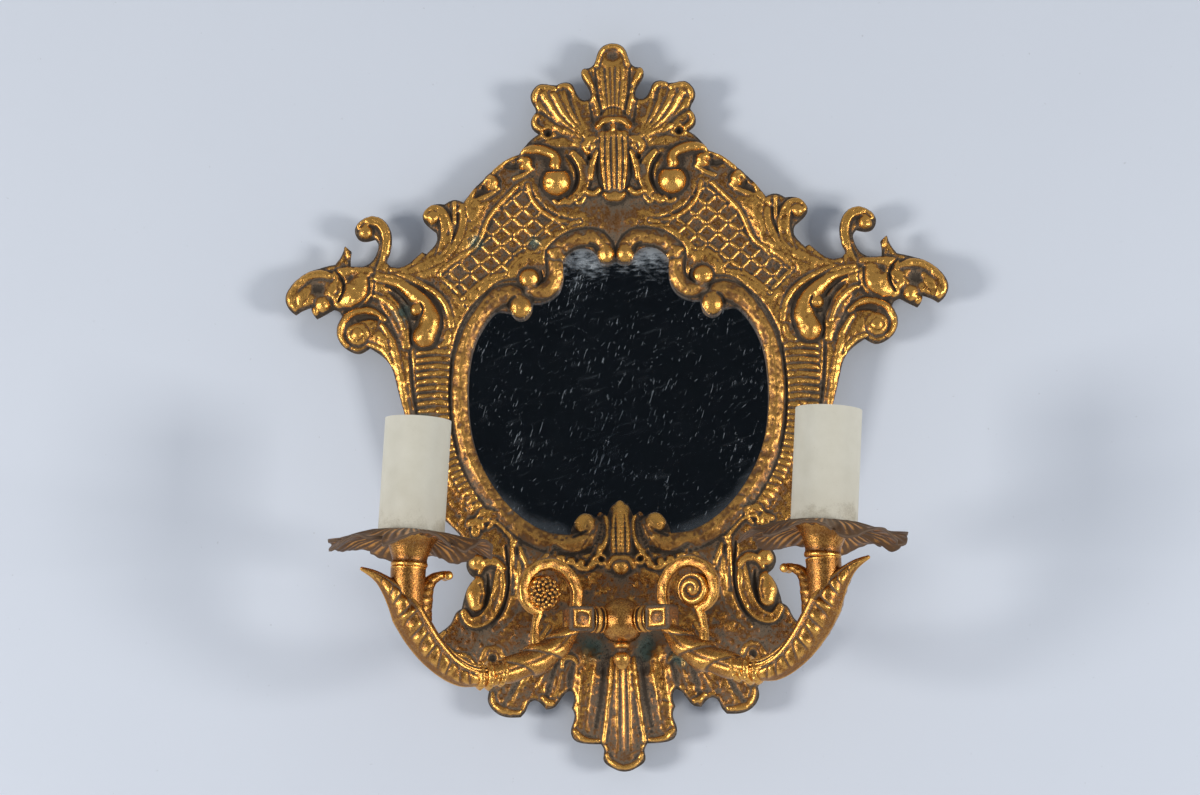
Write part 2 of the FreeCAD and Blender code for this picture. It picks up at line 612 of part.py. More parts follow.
def hub_washer():
    disc = rod(WASHER_RADIUS, at_hub_axis(PLATE_BACK - WASHER_THICK), at_hub_axis(PLATE_BACK))
    return disc.cut(rod(HUB_STUD_RADIUS + THREAD_FIT, at_hub_axis(0), at_hub_axis(PLATE_BACK + 1)))


def hub_nut():
    nut = hexagon(HUB_NUT_FLATS, HUB_NUT_THICK, at_hub_axis(nut_back()), V(0, -1, 0))
    return nut.cut(rod(HUB_STUD_RADIUS + THREAD_FIT, at_hub_axis(0), at_hub_axis(PLATE_BACK + 1)))


# ---------------------------------------------------------------- arms, in their own frame
ACROSS = V(0, 1, 0)
# from the end of the knuckle: along the arm, and up; then the radii from end to end
SCROLL_LINE = [(-4, 4), (-4.7, 11), (-1.3, 18.5), (6, 22.6), (14, 20.4), (18.5, 13.6), (17.1, 6), (11.5, 2.6)]
SCROLL_RADII = [2.4, 2.0, 1.8]
SCROLL_EYE = (9.9, 10.6)
STEM_LINE = [(11, 5), (13.5, -3), (13.5, -12)]
STEM_RADII = [2.0, 2.2, 3.0]
SHEATH_LINE = [(-3.5, -3.5), (2, -9), (9.5, -14.5), (19.5, -19)]
SHEATH_RADII = [3.8, 6.4, 7.0, 5.8, 4.6]
# from the seat of the candle: along the arm, and up
HORN_LINE = [(-35, -43.4), (-26, -43.2), (-18, -39.6), (-10.5, -34), (-4.6, -27), (-1, -19), (0.5, -10), (0.3, 3)]
HORN_RADII = [4.2, 4.8, 5.4, 6.2, 7.4, 8.2, 8.4]
OUTER_LEAF = [(4.5, -19), (8.5, -10), (13.5, -3.5), (20, -0.8)]
OUTER_LEAF_RADII = [4.6, 3.2, 1.2]
INNER_LEAF = [(-5.5, -19), (-6.8, -11), (-10.8, -4.6), (-16.5, -3.4)]
INNER_LEAF_RADII = [4.4, 2.6, 1.6]
KNOT_STEPS = (-3.6, 0.6, 4.6)    # rings of the knot, along the arm from the horn's start


def from_knuckle(points):
    return [V(KNUCKLE_END + s, 0, z) for s, z in points]


def from_seat(points):
    return [V(ARM_REACH + s, 0, SEAT_RISE + z) for s, z in points]


def arm_knuckle():
    block = Part.makeBox(KNUCKLE_LENGTH, KNUCKLE_WIDTH, KNUCKLE_WIDTH)
    block.translate(V(KNUCKLE_START, -KNUCKLE_WIDTH / 2, -KNUCKLE_WIDTH / 2))
    return block.makeFillet(KNUCKLE_ROUND, block.Edges)


def arm_scroll():
    band = tapered_tube(from_knuckle(SCROLL_LINE), SCROLL_RADII, ACROSS)
    middle = from_knuckle([SCROLL_EYE])[0]
    half = ACROSS * (SCROLL_EYE_THICK / 2)
    eye = rod(SCROLL_EYE_RADIUS, middle - half, middle + half)
    eye = eye.makeFillet(SCROLL_EYE_ROUND, eye.Edges)
    return [band, eye, tapered_tube(from_knuckle(STEM_LINE), STEM_RADII, ACROSS)]


def arm_sheath():
    knot = from_seat(HORN_LINE)[0]
    sheath = tapered_tube(from_knuckle(SHEATH_LINE) + [knot], SHEATH_RADII, ACROSS)
    half = KNOT_RING / 2
    edge = KNOT_RADIUS - KNOT_BEVEL
    profile = [(0, -half), (edge, -half), (KNOT_RADIUS, KNOT_BEVEL - half), (KNOT_RADIUS, half - KNOT_BEVEL),
               (edge, half), (0, half)]
    rings = []
    for step in KNOT_STEPS:
        ring = turned(profile)
        ring.Placement = FreeCAD.Placement(knot + V(step, 0, 0), FreeCAD.Rotation(V(0, 0, 1), V(1, 0, 0)))
        rings.append(ring)
    return [sheath] + rings


def arm_horn():
    horn = tapered_tube(from_seat(HORN_LINE), HORN_RADII + [HORN_TOP_RADIUS], ACROSS)
    outer = tapered_tube(from_seat(OUTER_LEAF), OUTER_LEAF_RADII, ACROSS)
    inner = tapered_tube(from_seat(INNER_LEAF), INNER_LEAF_RADII, ACROSS)
    tip = from_seat(INNER_LEAF)[-1]
    half = ACROSS * (LEAF_CURL_WIDTH / 2)
    return [horn, outer, inner, rod(LEAF_CURL_RADIUS, tip - half, tip + half)]


def candle_placement(side):
    """The candle's frame: its foot on the horn's seat, Z up the leaning candle."""
    foot = arm_placement(side).multVec(V(ARM_REACH, 0, SEAT_RISE))
    return FreeCAD.Placement(foot, FreeCAD.Rotation(V(0, 1, 0), CANDLE_LEAN))


def on_candle(shape, side):
    placed = shape.copy()
    placed.Placement = candle_placement(side).multiply(placed.Placement)
    return placed


def arm(side):
    shape = fused([arm_knuckle()] + arm_scroll() + arm_sheath() + arm_horn())
    bore_end = V(KNUCKLE_START + ARM_STUD_IN_KNUCKLE + END_AIR, 0, 0)
    bore = rod(ARM_STUD_RADIUS + THREAD_FIT, V(KNUCKLE_START - 1, 0, 0), bore_end)
    shape = on_arm(shape.cut(bore), side)
    above_seat = Part.makeCylinder(HORN_TOP_RADIUS + HORN_LIP, ARM_REACH)
    nipple_bore = rod(NIPPLE_RADIUS + THREAD_FIT, V(0, 0, -NIPPLE_IN_HORN - END_AIR), V(0, 0, 1))
    return shape.cut(on_candle(above_seat, side)).cut(on_candle(nipple_bore, side))


# ---------------------------------------------------------------- candles, in their own frame
def nipple():
    return rod(NIPPLE_RADIUS, V(0, 0, -NIPPLE_IN_HORN), V(0, 0, HOLDER_FOOT + HOLDER_FLOOR - END_AIR))


def pan_cup():
    bore = NIPPLE_RADIUS + THREAD_FIT
    return turned([(bore, 0), (CUP_FOOT_RADIUS, 0), (CUP_WAIST_RADIUS, CUP_WAIST_HEIGHT),
                   (CUP_TOP_RADIUS, CUP_HEIGHT), (bore, CUP_HEIGHT)])


def drip_pan(turn):
    """A drooping round pan, scalloped into petals."""
    bore = NIPPLE_RADIUS + THREAD_FIT
    reach = PAN_RADIUS - PAN_FLAT_RADIUS
    top = SLEEVE_FOOT
    upper = [(PAN_FLAT_RADIUS + reach * i / 4, top - PAN_DROOP * (i / 4) ** 2) for i in range(5)]
    lower = [(r - PAN_EDGE_TAPER * (r - PAN_FLAT_RADIUS) / reach, z - PAN_THICK) for r, z in reversed(upper)]
    pan = turned([(bore, top)] + upper + lower + [(bore, CUP_HEIGHT)])
    for i in range(PAN_PETALS):
        around = 2 * pi * i / PAN_PETALS + radians(turn)
        middle = V(cos(around), sin(around), 0) * (PAN_RADIUS + PAN_NOTCH_RADIUS - PAN_NOTCH_DEPTH)
        pan = pan.cut(Part.makeCylinder(PAN_NOTCH_RADIUS, 2 * top, middle - V(0, 0, top)))
    return pan


def holder_nut():
    nut = hexagon(NUT_FLATS, NUT_THICK, V(0, 0, SLEEVE_FOOT), V(0, 0, 1))
    return nut.cut(Part.makeCylinder(NIPPLE_RADIUS + THREAD_FIT, 2 * SLEEVE_FOOT, V(0, 0, SLEEVE_FOOT - 1)))


def lampholder_body():
    cavity = SHELL_BORE_RADIUS + SHELL_THICK + SHELL_FIT
    bore = NIPPLE_RADIUS + THREAD_FIT
    floor = HOLDER_FLOOR + HOLDER_FLOOR_THICK
    body = turned([(bore, 0), (HOLDER_RADIUS, 0), (HOLDER_RADIUS, HOLDER_HEIGHT), (cavity, HOLDER_HEIGHT),
                   (cavity, floor), (0, floor), (0, HOLDER_FLOOR), (bore, HOLDER_FLOOR)])
    body.translate(V(0, 0, HOLDER_FOOT))
    return body


def lampholder_shell():
    outer = SHELL_BORE_RADIUS + SHELL_THICK
    foot = HOLDER_FOOT + HOLDER_HEIGHT - SHELL_HEIGHT
    ring = turned([(SHELL_BORE_RADIUS, 0), (outer, 0), (outer, SHELL_HEIGHT), (SHELL_BORE_RADIUS, SHELL_HEIGHT)])
    ring.translate(V(0, 0, foot))
    return ring


def lampholder_contact():
    shoulder = CONTACT_HEIGHT - CONTACT_DOME
    stud = turned([(0, 0), (CONTACT_RADIUS, 0), (CONTACT_RADIUS, shoulder), (0, CONTACT_HEIGHT)])
    stud.translate(V(0, 0, HOLDER_FOOT + HOLDER_FLOOR + HOLDER_FLOOR_THICK))
    return stud


def candle_sleeve():
    tube = Part.makeCylinder(SLEEVE_RADIUS, SLEEVE_HEIGHT, V(0, 0, SLEEVE_FOOT))
    return tube.cut(Part.makeCylinder(SLEEVE_BORE, SLEEVE_HEIGHT + 2, V(0, 0, SLEEVE_FOOT - 1)))


# ---------------------------------------------------------------- all pieces
save("frame_casting", frame_casting())
save("mirror_glass", slab(whole(GLASS_OUTLINE), GLASS_BACK, PLATE_BACK))
save("backing_board", slab(whole(GLASS_OUTLINE), BOARD_BACK, GLASS_BACK))
screws = []
for level, x, z in CLIP_SPOTS:
    for side, side_name in ((-1, "left"), (1, "right")):
        save(f"turn_clip_{level}_{side_name}", turn_clip(side * x, z))
        screws.append(clip_screw(side * x, z))
save("clip_screws", Part.makeCompound(screws))
save("hanger_plate", hanger_plate())
hanger_pair = [countersunk(side * hanger_screw_x(), 0, PLATE_BACK) for side in (-1, 1)]
save("hanger_screws", Part.makeCompound(hanger_pair))

save("hub_ball", hub_ball())
save("hub_stud", hub_stud())
save("hub_washer", hub_washer())
save("hub_nut", hub_nut())
save("drop_finial", drop_finial())

for side, side_name, pan_turn in ((-1, "left", PAN_TURN_LEFT), (1, "right", PAN_TURN_RIGHT)):
    save(f"arm_collar_{side_name}", on_arm(arm_collar(), side))
    save(f"arm_stud_{side_name}", on_arm(arm_stud(), side))
    save(f"arm_{side_name}", arm(side))
    save(f"nipple_{side_name}", on_candle(nipple(), side))
    save(f"pan_cup_{side_name}", on_candle(pan_cup(), side))
    save(f"drip_pan_{side_name}", on_candle(drip_pan(pan_turn), side))
    save(f"holder_nut_{side_name}", on_candle(holder_nut(), side))
    save(f"lampholder_body_{side_name}", on_candle(lampholder_body(), side))
    save(f"lampholder_shell_{side_name}", on_candle(lampholder_shell(), side))
    save(f"lampholder_contact_{side_name}", on_candle(lampholder_contact(), side))
    save(f"candle_sleeve_{side_name}", on_candle(candle_sleeve(), side))
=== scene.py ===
from math import cos, pi, radians, sin, sqrt

import bpy
import numpy as np
from mathutils import Matrix, Vector
from mathutils.geometry import delaunay_2d_cdt


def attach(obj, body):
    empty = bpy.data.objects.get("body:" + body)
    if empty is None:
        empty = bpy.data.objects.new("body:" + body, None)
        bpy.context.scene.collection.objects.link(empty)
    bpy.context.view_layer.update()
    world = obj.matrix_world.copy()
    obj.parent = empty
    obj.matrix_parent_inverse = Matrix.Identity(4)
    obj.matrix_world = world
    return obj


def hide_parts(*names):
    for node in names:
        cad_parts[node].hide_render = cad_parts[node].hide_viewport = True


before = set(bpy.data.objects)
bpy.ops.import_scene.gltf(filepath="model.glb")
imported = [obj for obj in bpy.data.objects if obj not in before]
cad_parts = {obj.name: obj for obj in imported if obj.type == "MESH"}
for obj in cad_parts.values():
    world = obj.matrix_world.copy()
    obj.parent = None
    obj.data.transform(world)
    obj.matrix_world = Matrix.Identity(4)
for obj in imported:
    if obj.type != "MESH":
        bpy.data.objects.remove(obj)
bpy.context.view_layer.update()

MM = 0.001
PHOTO_WIDE = 1200
PHOTO_HIGH = 795

FACE_STRETCH = 315.0 / 310.5   # real height over drawn height
GLASS_DROP = 96.0              # middle of the glass below the hanger's keyhole
GROUND = 12.0                  # front of the cast plate, from the wall
PLATE_BACK = 8.0
HUB_DROP = 99.5                # hub below the middle of the glass
HUB_DEPTH = 38.0
HUB_RADIUS = 9.3
HUB_SEAT = 30.0
HUB = np.array([0.0, -HUB_DEPTH, -GLASS_DROP - HUB_DROP])
ARM_TURN = {"left": 202.5, "right": -27.5}
ARM_REACH = 92.0
SEAT_RISE = 20.0
CANDLE_LEAN = 4.0
COLLAR_START = 8.3
COLLAR_LENGTH = 5.2
KNUCKLE_START = 13.5
KNUCKLE_LENGTH = 11.0
KNUCKLE_HALF = 5.3
PAN_TOP = 14.3
PAN_THICK = 1.5
PAN_TURN = {"left": 10.0, "right": 35.0}
PAN_BORE = 5.2
PAN_FLAT = 13.0                # radius where the pan begins to fall
PAN_REACH = 34.0
PETALS = 6
SIDES = ("left", "right")
CLIP_PADS = ((66.5, 50.5), (60.3, -50.3))   # on the face, right half
HANGER_SCREW_X = 13.0
SCROLL_EYE = (34.4, 0, 10.6)   # middle of an arm's scroll, in the arm's frame
CURL_LIP = (76.0, 0, 16.8)     # rolled lip of an arm's inner leaf

CELL = 0.45                    # pitch of the carved face's grid
DRAWN_HALF = 145               # the grid's reach to the side, down and up
DRAWN_LOW = -160
DRAWN_HIGH = 154
TAMED = 0.74                   # share of the drawn height that worn casting keeps
DEEPEST = -3.0                 # no hollow goes further into the cast plate
SLOPE = 1.3                    # fall of the ground away from a carved form
GOLDEN_TURN = 2.39996          # radians from seed to seed of the rosette
LATTICE_MIDDLE = (35, 76)
BAR_RISE = (4.5, 4.4)          # from crossing to crossing along the lattice's rising bars
BAR_FALL = (4.65, -3.85)
BAR_HALF = 0.095               # half a bar's width, as a share of that step

TO_X = Matrix.Rotation(radians(90), 4, "Y")
TO_FRONT = Matrix.Rotation(radians(90), 4, "X")
TO_BACK = Matrix.Rotation(radians(-90), 4, "X")

FACE_OUTLINE = [
    [(0, 152), (3.5, 151.3), (5.8, 149), (7.2, 145), (9.3, 141.8), (12.3, 141.2)],
    [(12.3, 141.2), (13.5, 139.6), (12.2, 135.6), (10, 131.6), (10.2, 128), (12.8, 127.4), (16.3, 131.5)],
    [(16.3, 131.5), (18, 134.6), (21, 135.3), (24.5, 134)],
    [(24.5, 134), (28, 134.3), (31.5, 134.6), (34.6, 132.3), (35.8, 128.8), (34.2, 125.4)],
    [(34.2, 125.4), (33.6, 122.6), (35.3, 119.8), (35.6, 116.5), (32, 113.1)],
    [(32, 113.1), (35.5, 110.7), (38.8, 107), (41, 103.9)],
    [(41, 103.9), (46, 101.8), (52, 97.5), (58, 92.2), (65.3, 83.3)],
    [(65.3, 83.3), (69.5, 84.7), (73.6, 82.9)],
    [(73.6, 82.9), (77, 83.1), (81, 81.2), (83.2, 77.5), (80.8, 73.8), (77.6, 71.2)],
    [(77.6, 71.2), (76.9, 67.8), (78.6, 64.4), (81.5, 61.3)],
    [(81.5, 61.3), (83.5, 62.2)],
    [(83.5, 62.2), (87.8, 58.3), (93.3, 55.6), (97, 56.2)],
    [(97, 56.2), (98.9, 58.5), (97.7, 62)],
    [(97.7, 62), (96.7, 69), (97.5, 73), (101, 77.2), (106, 78.2), (110.5, 76), (112.5, 72), (110.8, 68.6),
     (107.5, 67.9), (104, 68.7)],
    [(104, 68.7), (102.5, 66.5), (103, 62.5), (106, 58), (110, 56.4), (114.5, 56.6)],
    [(114.5, 56.6), (114.7, 60), (114.2, 63.3)],
    [(114.2, 63.3), (116.9, 65.6)],
    [(116.9, 65.6), (118.3, 61.5), (121, 57.7)],
    [(121, 57.7), (131, 55), (137, 51.5), (141, 47.3), (142.5, 42.8), (140.8, 38.6), (138.3, 36.6)],
    [(138.3, 36.6), (135.6, 38.3), (131.4, 39.8)],
    [(131.4, 39.8), (130.7, 36.5), (129.2, 34.7)],
    [(129.2, 34.7), (125.5, 36.6), (121.9, 38.6)],
    [(121.9, 38.6), (119.5, 37.6), (118.2, 35)],
    [(118.2, 35), (120.4, 30), (119.3, 24.3), (115.5, 20.8), (111, 19.4), (106.4, 21.7)],
    [(106.4, 21.7), (102, 18.8), (98, 14.6), (94.5, 4), (91.3, -8), (87.5, -25), (82.5, -42)],
    [(82.5, -42), (81, -46.5), (77.5, -50)],
    [(77.5, -50), (72.5, -54.5), (67.5, -60), (63.5, -66.5)],
    [(63.5, -66.5), (65.6, -70.5), (64.6, -75), (61.8, -77.3)],
    [(61.8, -77.3), (64.6, -80.5), (66.6, -85), (67.8, -89.8)],
    [(67.8, -89.8), (70.2, -91.6), (72.5, -96), (75.5, -98.6), (78.6, -100.6)],
    [(78.6, -100.6), (79.3, -104), (77.4, -107.8), (73.8, -110)],
    [(73.8, -110), (71.8, -113.5), (68.5, -116.3), (59, -121.5), (56.6, -124.6)],
    [(56.6, -124.6), (57.2, -128), (55.3, -132), (51, -134.8), (43.5, -135.3)],
    [(43.5, -135.3), (41.2, -132.5), (40, -129.8), (37.5, -128.4), (35.3, -129.4), (32.7, -132.3)],
    [(32.7, -132.3), (29.5, -131.6), (26.8, -128.6), (24.5, -125.8), (22.2, -124.8), (20.8, -127.5),
     (21.8, -132)],
    [(21.8, -132), (20.7, -135), (22.3, -141.5), (21.3, -144.8), (17, -146.6), (9.8, -147)],
    [(9.8, -147), (8.5, -149.5), (8.8, -153.5), (4.8, -157.1), (2.2, -158.2),
     (0, -158.5)],
]
OPENING_OUTLINE = [
    [(0, 57.5), (3.2, 56), (7, 57.2)],
    [(7, 57.2), (9.5, 61.5), (14, 63.2), (19, 61.7), (23, 57.6)],
    [(23, 57.6), (22.8, 51), (25.4, 43.8), (31, 40.3), (36, 39.8)],
    [(36, 39.8), (38.2, 34.5), (41.8, 32.8), (45.5, 35.8)],
    [(45.5, 35.8), (51, 36.5), (56.5, 31.5), (61.4, 22.5), (64.2, 8), (64.1, -8), (61.3, -23),
     (54.6, -37.5), (44.5, -50), (31, -58.2), (21.5, -60)],
    [(21.5, -60), (19.4, -54.5), (15, -51), (10.2, -52.8)],
    [(10.2, -52.8), (8.8, -50.6), (5.6, -52.6)],
    [(5.6, -52.6), (3.6, -48.2), (0, -45.6)],
]
SKIRT_OUTLINE = [
    (0, 111), (22, 109), (45, 93), (61, 76), (72, 63), (84, 50), (90.5, 34), (91, 12), (88.5, -10),
    (84, -29), (77, -46), (66, -57.5), (59.5, -70), (60.5, -82), (66.5, -94), (68, -104),
    (60, -114), (44, -121), (22, -119.5), (0, -124),
]
SKIRT_WALL = 4.0
LATTICE_OUTLINE = [
    [(37.1, 90.1), (30, 81), (15.3, 74.3)],
    [(15.3, 74.3), (24.5, 70.2), (34.6, 61.8)],
    [(34.6, 61.8), (42, 59.3), (47.7, 52.2)],
    [(47.7, 52.2), (57.5, 49.5), (66.1, 41.6)],
    [(66.1, 41.6), (72, 46.3), (75.5, 52.6)],
    [(75.5, 52.6), (62, 64.5), (52, 79), (42.3, 89.9), (37.1, 90.1)],
]


# ---------------------------------------------------------------- lines
def smooth(points, step=0.5):
    """A natural cubic line through the points, sampled about every step."""
    p = np.array(points, float)
    run = np.concatenate([[0.0], np.cumsum(np.linalg.norm(np.diff(p, axis=0), axis=1))])
    h = np.diff(run)
    n = len(p)
    grid = np.eye(n)
    rise = np.zeros_like(p)
    for i in range(1, n - 1):
        grid[i, i - 1:i + 2] = h[i - 1], 2 * (h[i - 1] + h[i]), h[i]
        rise[i] = 6 * ((p[i + 1] - p[i]) / h[i] - (p[i] - p[i - 1]) / h[i - 1])
    bend = np.linalg.solve(grid, rise)
    at = np.linspace(0, run[-1], max(int(run[-1] / step), 4) + 1)
    k = np.clip(np.searchsorted(run, at, side="right") - 1, 0, n - 2)
    u = (at - run[k])[:, None]
    w = (run[k + 1] - at)[:, None]
    hk = h[k][:, None]
    curved = (bend[k] * w ** 3 + bend[k + 1] * u ** 3) / (6 * hk)
    return curved + (p[k] / hk - bend[k] * hk / 6) * w + (p[k + 1] / hk - bend[k + 1] * hk / 6) * u


def half_round(runs, step=0.5):
    """The runs of the right half as one open line."""
    lines = [smooth(run, step) for run in runs]
    return np.concatenate([line[:-1] for line in lines] + [lines[-1][-1:]])


def full_round(runs, step=0.5):
    """The right half and its mirror image as one closed line."""
    right = half_round(runs, step)
    return np.concatenate([right, (right * (-1, 1))[-2:0:-1]])


def spread(value, share):
    """A number, or a list followed from end to end."""
    values = np.atleast_1d(np.array(value, float))
    return np.interp(share, np.linspace(0, 1, len(values)), values)


def inside(line, x, z):
    """Which points lie inside a closed line."""
    found = np.zeros(x.shape, bool)
    for (x0, z0), (x1, z1) in zip(line, np.roll(line, -1, axis=0)):
        if z0 == z1:
            continue
        crosses = (z0 > z) != (z1 > z)
        found ^= crosses & (x < (x1 - x0) * (z - z0) / (z1 - z0) + x0)
    return found


def nearest(line, x, z):
    """The nearest sample of a line to each point, and the squared distance."""
    line = line.astype(np.float32)
    which = np.empty(len(x), int)
    gap = np.empty(len(x), np.float32)
    chunk = 6000
    for i in range(0, len(x), chunk):
        dx = x[i:i + chunk, None].astype(np.float32) - line[None, :, 0]
        dz = z[i:i + chunk, None].astype(np.float32) - line[None, :, 1]
        square = dx * dx + dz * dz
        which[i:i + chunk] = square.argmin(1)
        gap[i:i + chunk] = square.min(1)
    return which, gap


def soft(values, sigma):
    """The grid blurred by sigma cells."""
    high, wide = values.shape
    padded = np.pad(values, int(3 * sigma) + 1, mode="edge")
    ky = np.fft.fftfreq(padded.shape[0])[:, None]
    kx = np.fft.rfftfreq(padded.shape[1])[None, :]
    keep = np.exp(-2 * (pi * sigma) ** 2 * (kx ** 2 + ky ** 2))
    out = np.fft.irfft2(np.fft.rfft2(padded) * keep, padded.shape)
    edge = int(3 * sigma) + 1
    return out[edge:edge + high, edge:edge + wide]


def fade(values, low, high):
    """0 up to low and 1 from high on, with a smooth rise between."""
    t = np.clip((values - low) / (high - low), 0, 1)
    return t * t * (3 - 2 * t)


# ---------------------------------------------------------------- the carved face
# height across a form, by the distance from its middle line as a share of its radius
FORMS = {
    "round": lambda q: (1 - q * q) ** 0.62,
    "ridge": lambda q: (1 - q) ** 1.1,
    "band": lambda q: np.clip((1 - q) * 5, 0, 1) ** 0.6 * (0.7 + 0.3 * np.exp(-((q - 0.78) / 0.14) ** 2)),
    "swell": lambda q: (1 - q * q) ** 2,
}


def melt(low, high, blend=0.45):
    """The higher of two surfaces, with a fillet where they meet."""
    return 0.5 * (low + high + np.sqrt((low - high) ** 2 + blend * blend))


class Relief:
    """Heights over the right half of the drawn face."""

    def __init__(self):
        self.x = np.arange(0, DRAWN_HALF, CELL)
        self.z = np.arange(DRAWN_LOW, DRAWN_HIGH, CELL)
        self.X, self.Z = np.meshgrid(self.x, self.z)
        self.H = np.zeros_like(self.X)
        self.brown = np.zeros_like(self.X)

    def window(self, low, high):
        """The rows and columns of the grid between two corners."""
        rows = slice(*np.searchsorted(self.z, (low[1], high[1])))
        return rows, slice(*np.searchsorted(self.x, (low[0], high[0])))

    def stroke(self, points, radius, height, form="round", lift=0.0, crease=0.3, beads=0.0,
               ticks=0.0, brown=0.0):
        """Carves along a smooth line: a form that starts at its lift above the plate, with a
        crease beside it. Beads and ticks give their pitch. With a lift of None the form is
        added to what is there, at its full height."""
        line = smooth(points, 0.6)
        step = np.gradient(line, axis=0)
        along = step / np.linalg.norm(step, axis=1)[:, None]
        run = np.concatenate([[0.0], np.cumsum(np.linalg.norm(np.diff(line, axis=0), axis=1))])
        reach = np.max(radius) + 1.6
        w = self.window(line.min(0) - reach, line.max(0) + reach)
        x, z = self.X[w].ravel(), self.Z[w].ravel()
        k, square = nearest(line, x, z)
        off = np.stack([x, z], 1) - line[k]
        ahead = (off * along[k]).sum(1)
        middle = (k > 0) & (k < len(line) - 1)
        across = np.abs(off[:, 0] * along[k, 1] - off[:, 1] * along[k, 0])
        away = np.where(middle, across, np.sqrt(square))
        length = run[k] + np.where(middle, ahead, 0)
        share = length / run[-1]
        r = spread(radius, share)
        tall = spread(height, share) * (TAMED if lift is not None else 1)
        q = away / r
        if beads:
            step_off = ((length / beads) % 1 - 0.5) * beads / r
            body = tall * np.sqrt(np.clip(1 - q * q - step_off ** 2, 0, 1))
        else:
            body = tall * FORMS[form](np.clip(q, 0, 1))
        if ticks:
            body = body * (0.86 + 0.14 * np.cos(2 * pi * length / ticks))
        old = self.H[w].ravel()
        if lift is None:
            new = old + np.where(q < 1, body, 0)
        else:
            beyond = np.clip(away - r, 0, None)
            new = melt(old, body + lift - SLOPE * beyond)
            new -= crease * np.exp(-((beyond - 0.5) / 0.45) ** 2) * fade(q, 0.9, 1.1)
        self.H[w] = new.reshape(self.H[w].shape)
        if brown:
            stain = brown * (1 - fade(q, 0.8, 1.15))
            self.brown[w] = np.maximum(self.brown[w], stain.reshape(self.H[w].shape))

    def add(self, points, radius, height, form="swell", **more):
        """Raises what is there along a line, or sinks it where the height is negative."""
        self.stroke(points, radius, height, form, lift=None, **more)

    def ball(self, x, z, radius, height=None, lift=0.0, crease=0.35):
        """A ball half sunk in the plate, with a crease round it."""
        w = self.window((x - radius - 2, z - radius - 2), (x + radius + 2, z + radius + 2))
        away = np.hypot(self.X[w] - x, self.Z[w] - z)
        q = away / radius
        beyond = np.clip(away - radius, 0, None)
        body = lift + (height or radius) * TAMED * np.sqrt(np.clip(1 - q * q, 0, 1))
        self.H[w] = melt(self.H[w], body - SLOPE * beyond)
        self.H[w] -= crease * np.exp(-((beyond - 0.5) / 0.5) ** 2) * fade(q, 0.9, 1.1)

    def dish(self, x, z, radius, depth):
        """A round hollow."""
        self.add([(x - 0.1, z), (x, z), (x + 0.1, z)], radius, -depth)


def broad_forms(face):
    """The large swellings and hollows of the casting."""
    face.add([(0, 74), (22, 72), (38, 58), (56, 48), (70, 33), (76, 12), (76, -10), (70, -30),
              (58, -47)], 8, 1.2)
    face.add([(62, 82), (66, 68), (80, 56), (98, 51), (122, 46), (138, 44)], [9, 9, 8, 9], 1.8)
    face.add([(90, -20), (93, 2), (97, 18), (106, 28), (114, 28)], [5, 6, 7, 8], 1.6)
    face.add([(0, 150), (0, 130), (0, 112)], [7, 9, 9], [0.8, 1.6, 2.4])
    face.add([(30, 132), (20, 120), (8, 108)], [8, 8, 8], [1.0, 1.4, 2.0])
    face.add([(20, -66), (36, -72), (44, -84)], [8, 12, 8], 1.2)
    face.add([(0, -118), (0, -136), (0, -156)], [10, 9, 6], [2.2, 1.4, 0.6])
    face.add([(14, -112), (16, -126), (15, -144)], [8, 8, 7], [1.8, 1.2, 0.8])
    face.add([(34, -108), (42, -118), (50, -130)], [9, 9, 8], [1.4, 1.2, 1.0])
    face.add([(18, -98), (10, -106), (9, -114)], [9, 8, 6], -1.6)
    face.add([(0, -84), (16, -88), (32, -90)], [11, 11, 9], -2.0)
    face.add([(58, -112), (50, -102), (44, -94)], [7, 8, 7], 1.2)
    face.add([(96, 44), (91, 34), (90, 24)], [4, 5, 4], -1.4)


def lattice(face):
    """The diapered field: raised bars that stop short of sunk crossings, and its border."""
    line = half_round(LATTICE_OUTLINE)
    w = face.window(line.min(0), line.max(0))
    x, z = face.X[w], face.Z[w]
    cell = BAR_RISE[0] * BAR_FALL[1] - BAR_RISE[1] * BAR_FALL[0]
    dx, dz = x - LATTICE_MIDDLE[0], z - LATTICE_MIDDLE[1]
    i = (dx * BAR_FALL[1] - dz * BAR_FALL[0]) / cell
    j = (BAR_RISE[0] * dz - BAR_RISE[1] * dx) / cell
    off_i, off_j = np.abs(i - np.round(i)), np.abs(j - np.round(j))
    bars = np.zeros_like(x)
    for across, ahead in ((off_i, off_j), (off_j, off_i)):
        bar = 1 - np.clip(across / BAR_HALF, 0, 1) ** 2
        bars = np.maximum(bars, bar * fade(ahead, 0.06, 0.16))
    field = inside(line, x, z)
    sunk = face.H[w] - 0.7 + 0.85 * bars
    face.H[w] = np.where(field, sunk, face.H[w])
    face.stroke([(37.4, 90.4), (36, 85), (33.5, 81), (28, 76.5), (22, 74.3), (15.3, 74)], 0.8, 1.0)
    face.stroke([(42.3, 89.8), (48, 84), (55, 75.5), (58.5, 67), (63, 62), (69.5, 58), (76, 52.5)],
                0.9, 1.2)
    for scallop in ([(15.3, 74), (24.5, 71), (31, 65.5), (34, 61.8)],
                    [(34, 61.8), (38, 61.3), (43, 58.8), (48, 52)],
                    [(48, 52), (53, 51), (60, 47.5), (66, 41.8)],
                    [(66, 41.8), (70.5, 47), (76, 51.8)]):
        face.stroke(scallop, 0.7, 0.35)


def crest(face):
    """All that stands above the lattice."""
    crest_leaves(face)
    husk(face)
    crest_volutes(face)
    shoulder_curls(face)


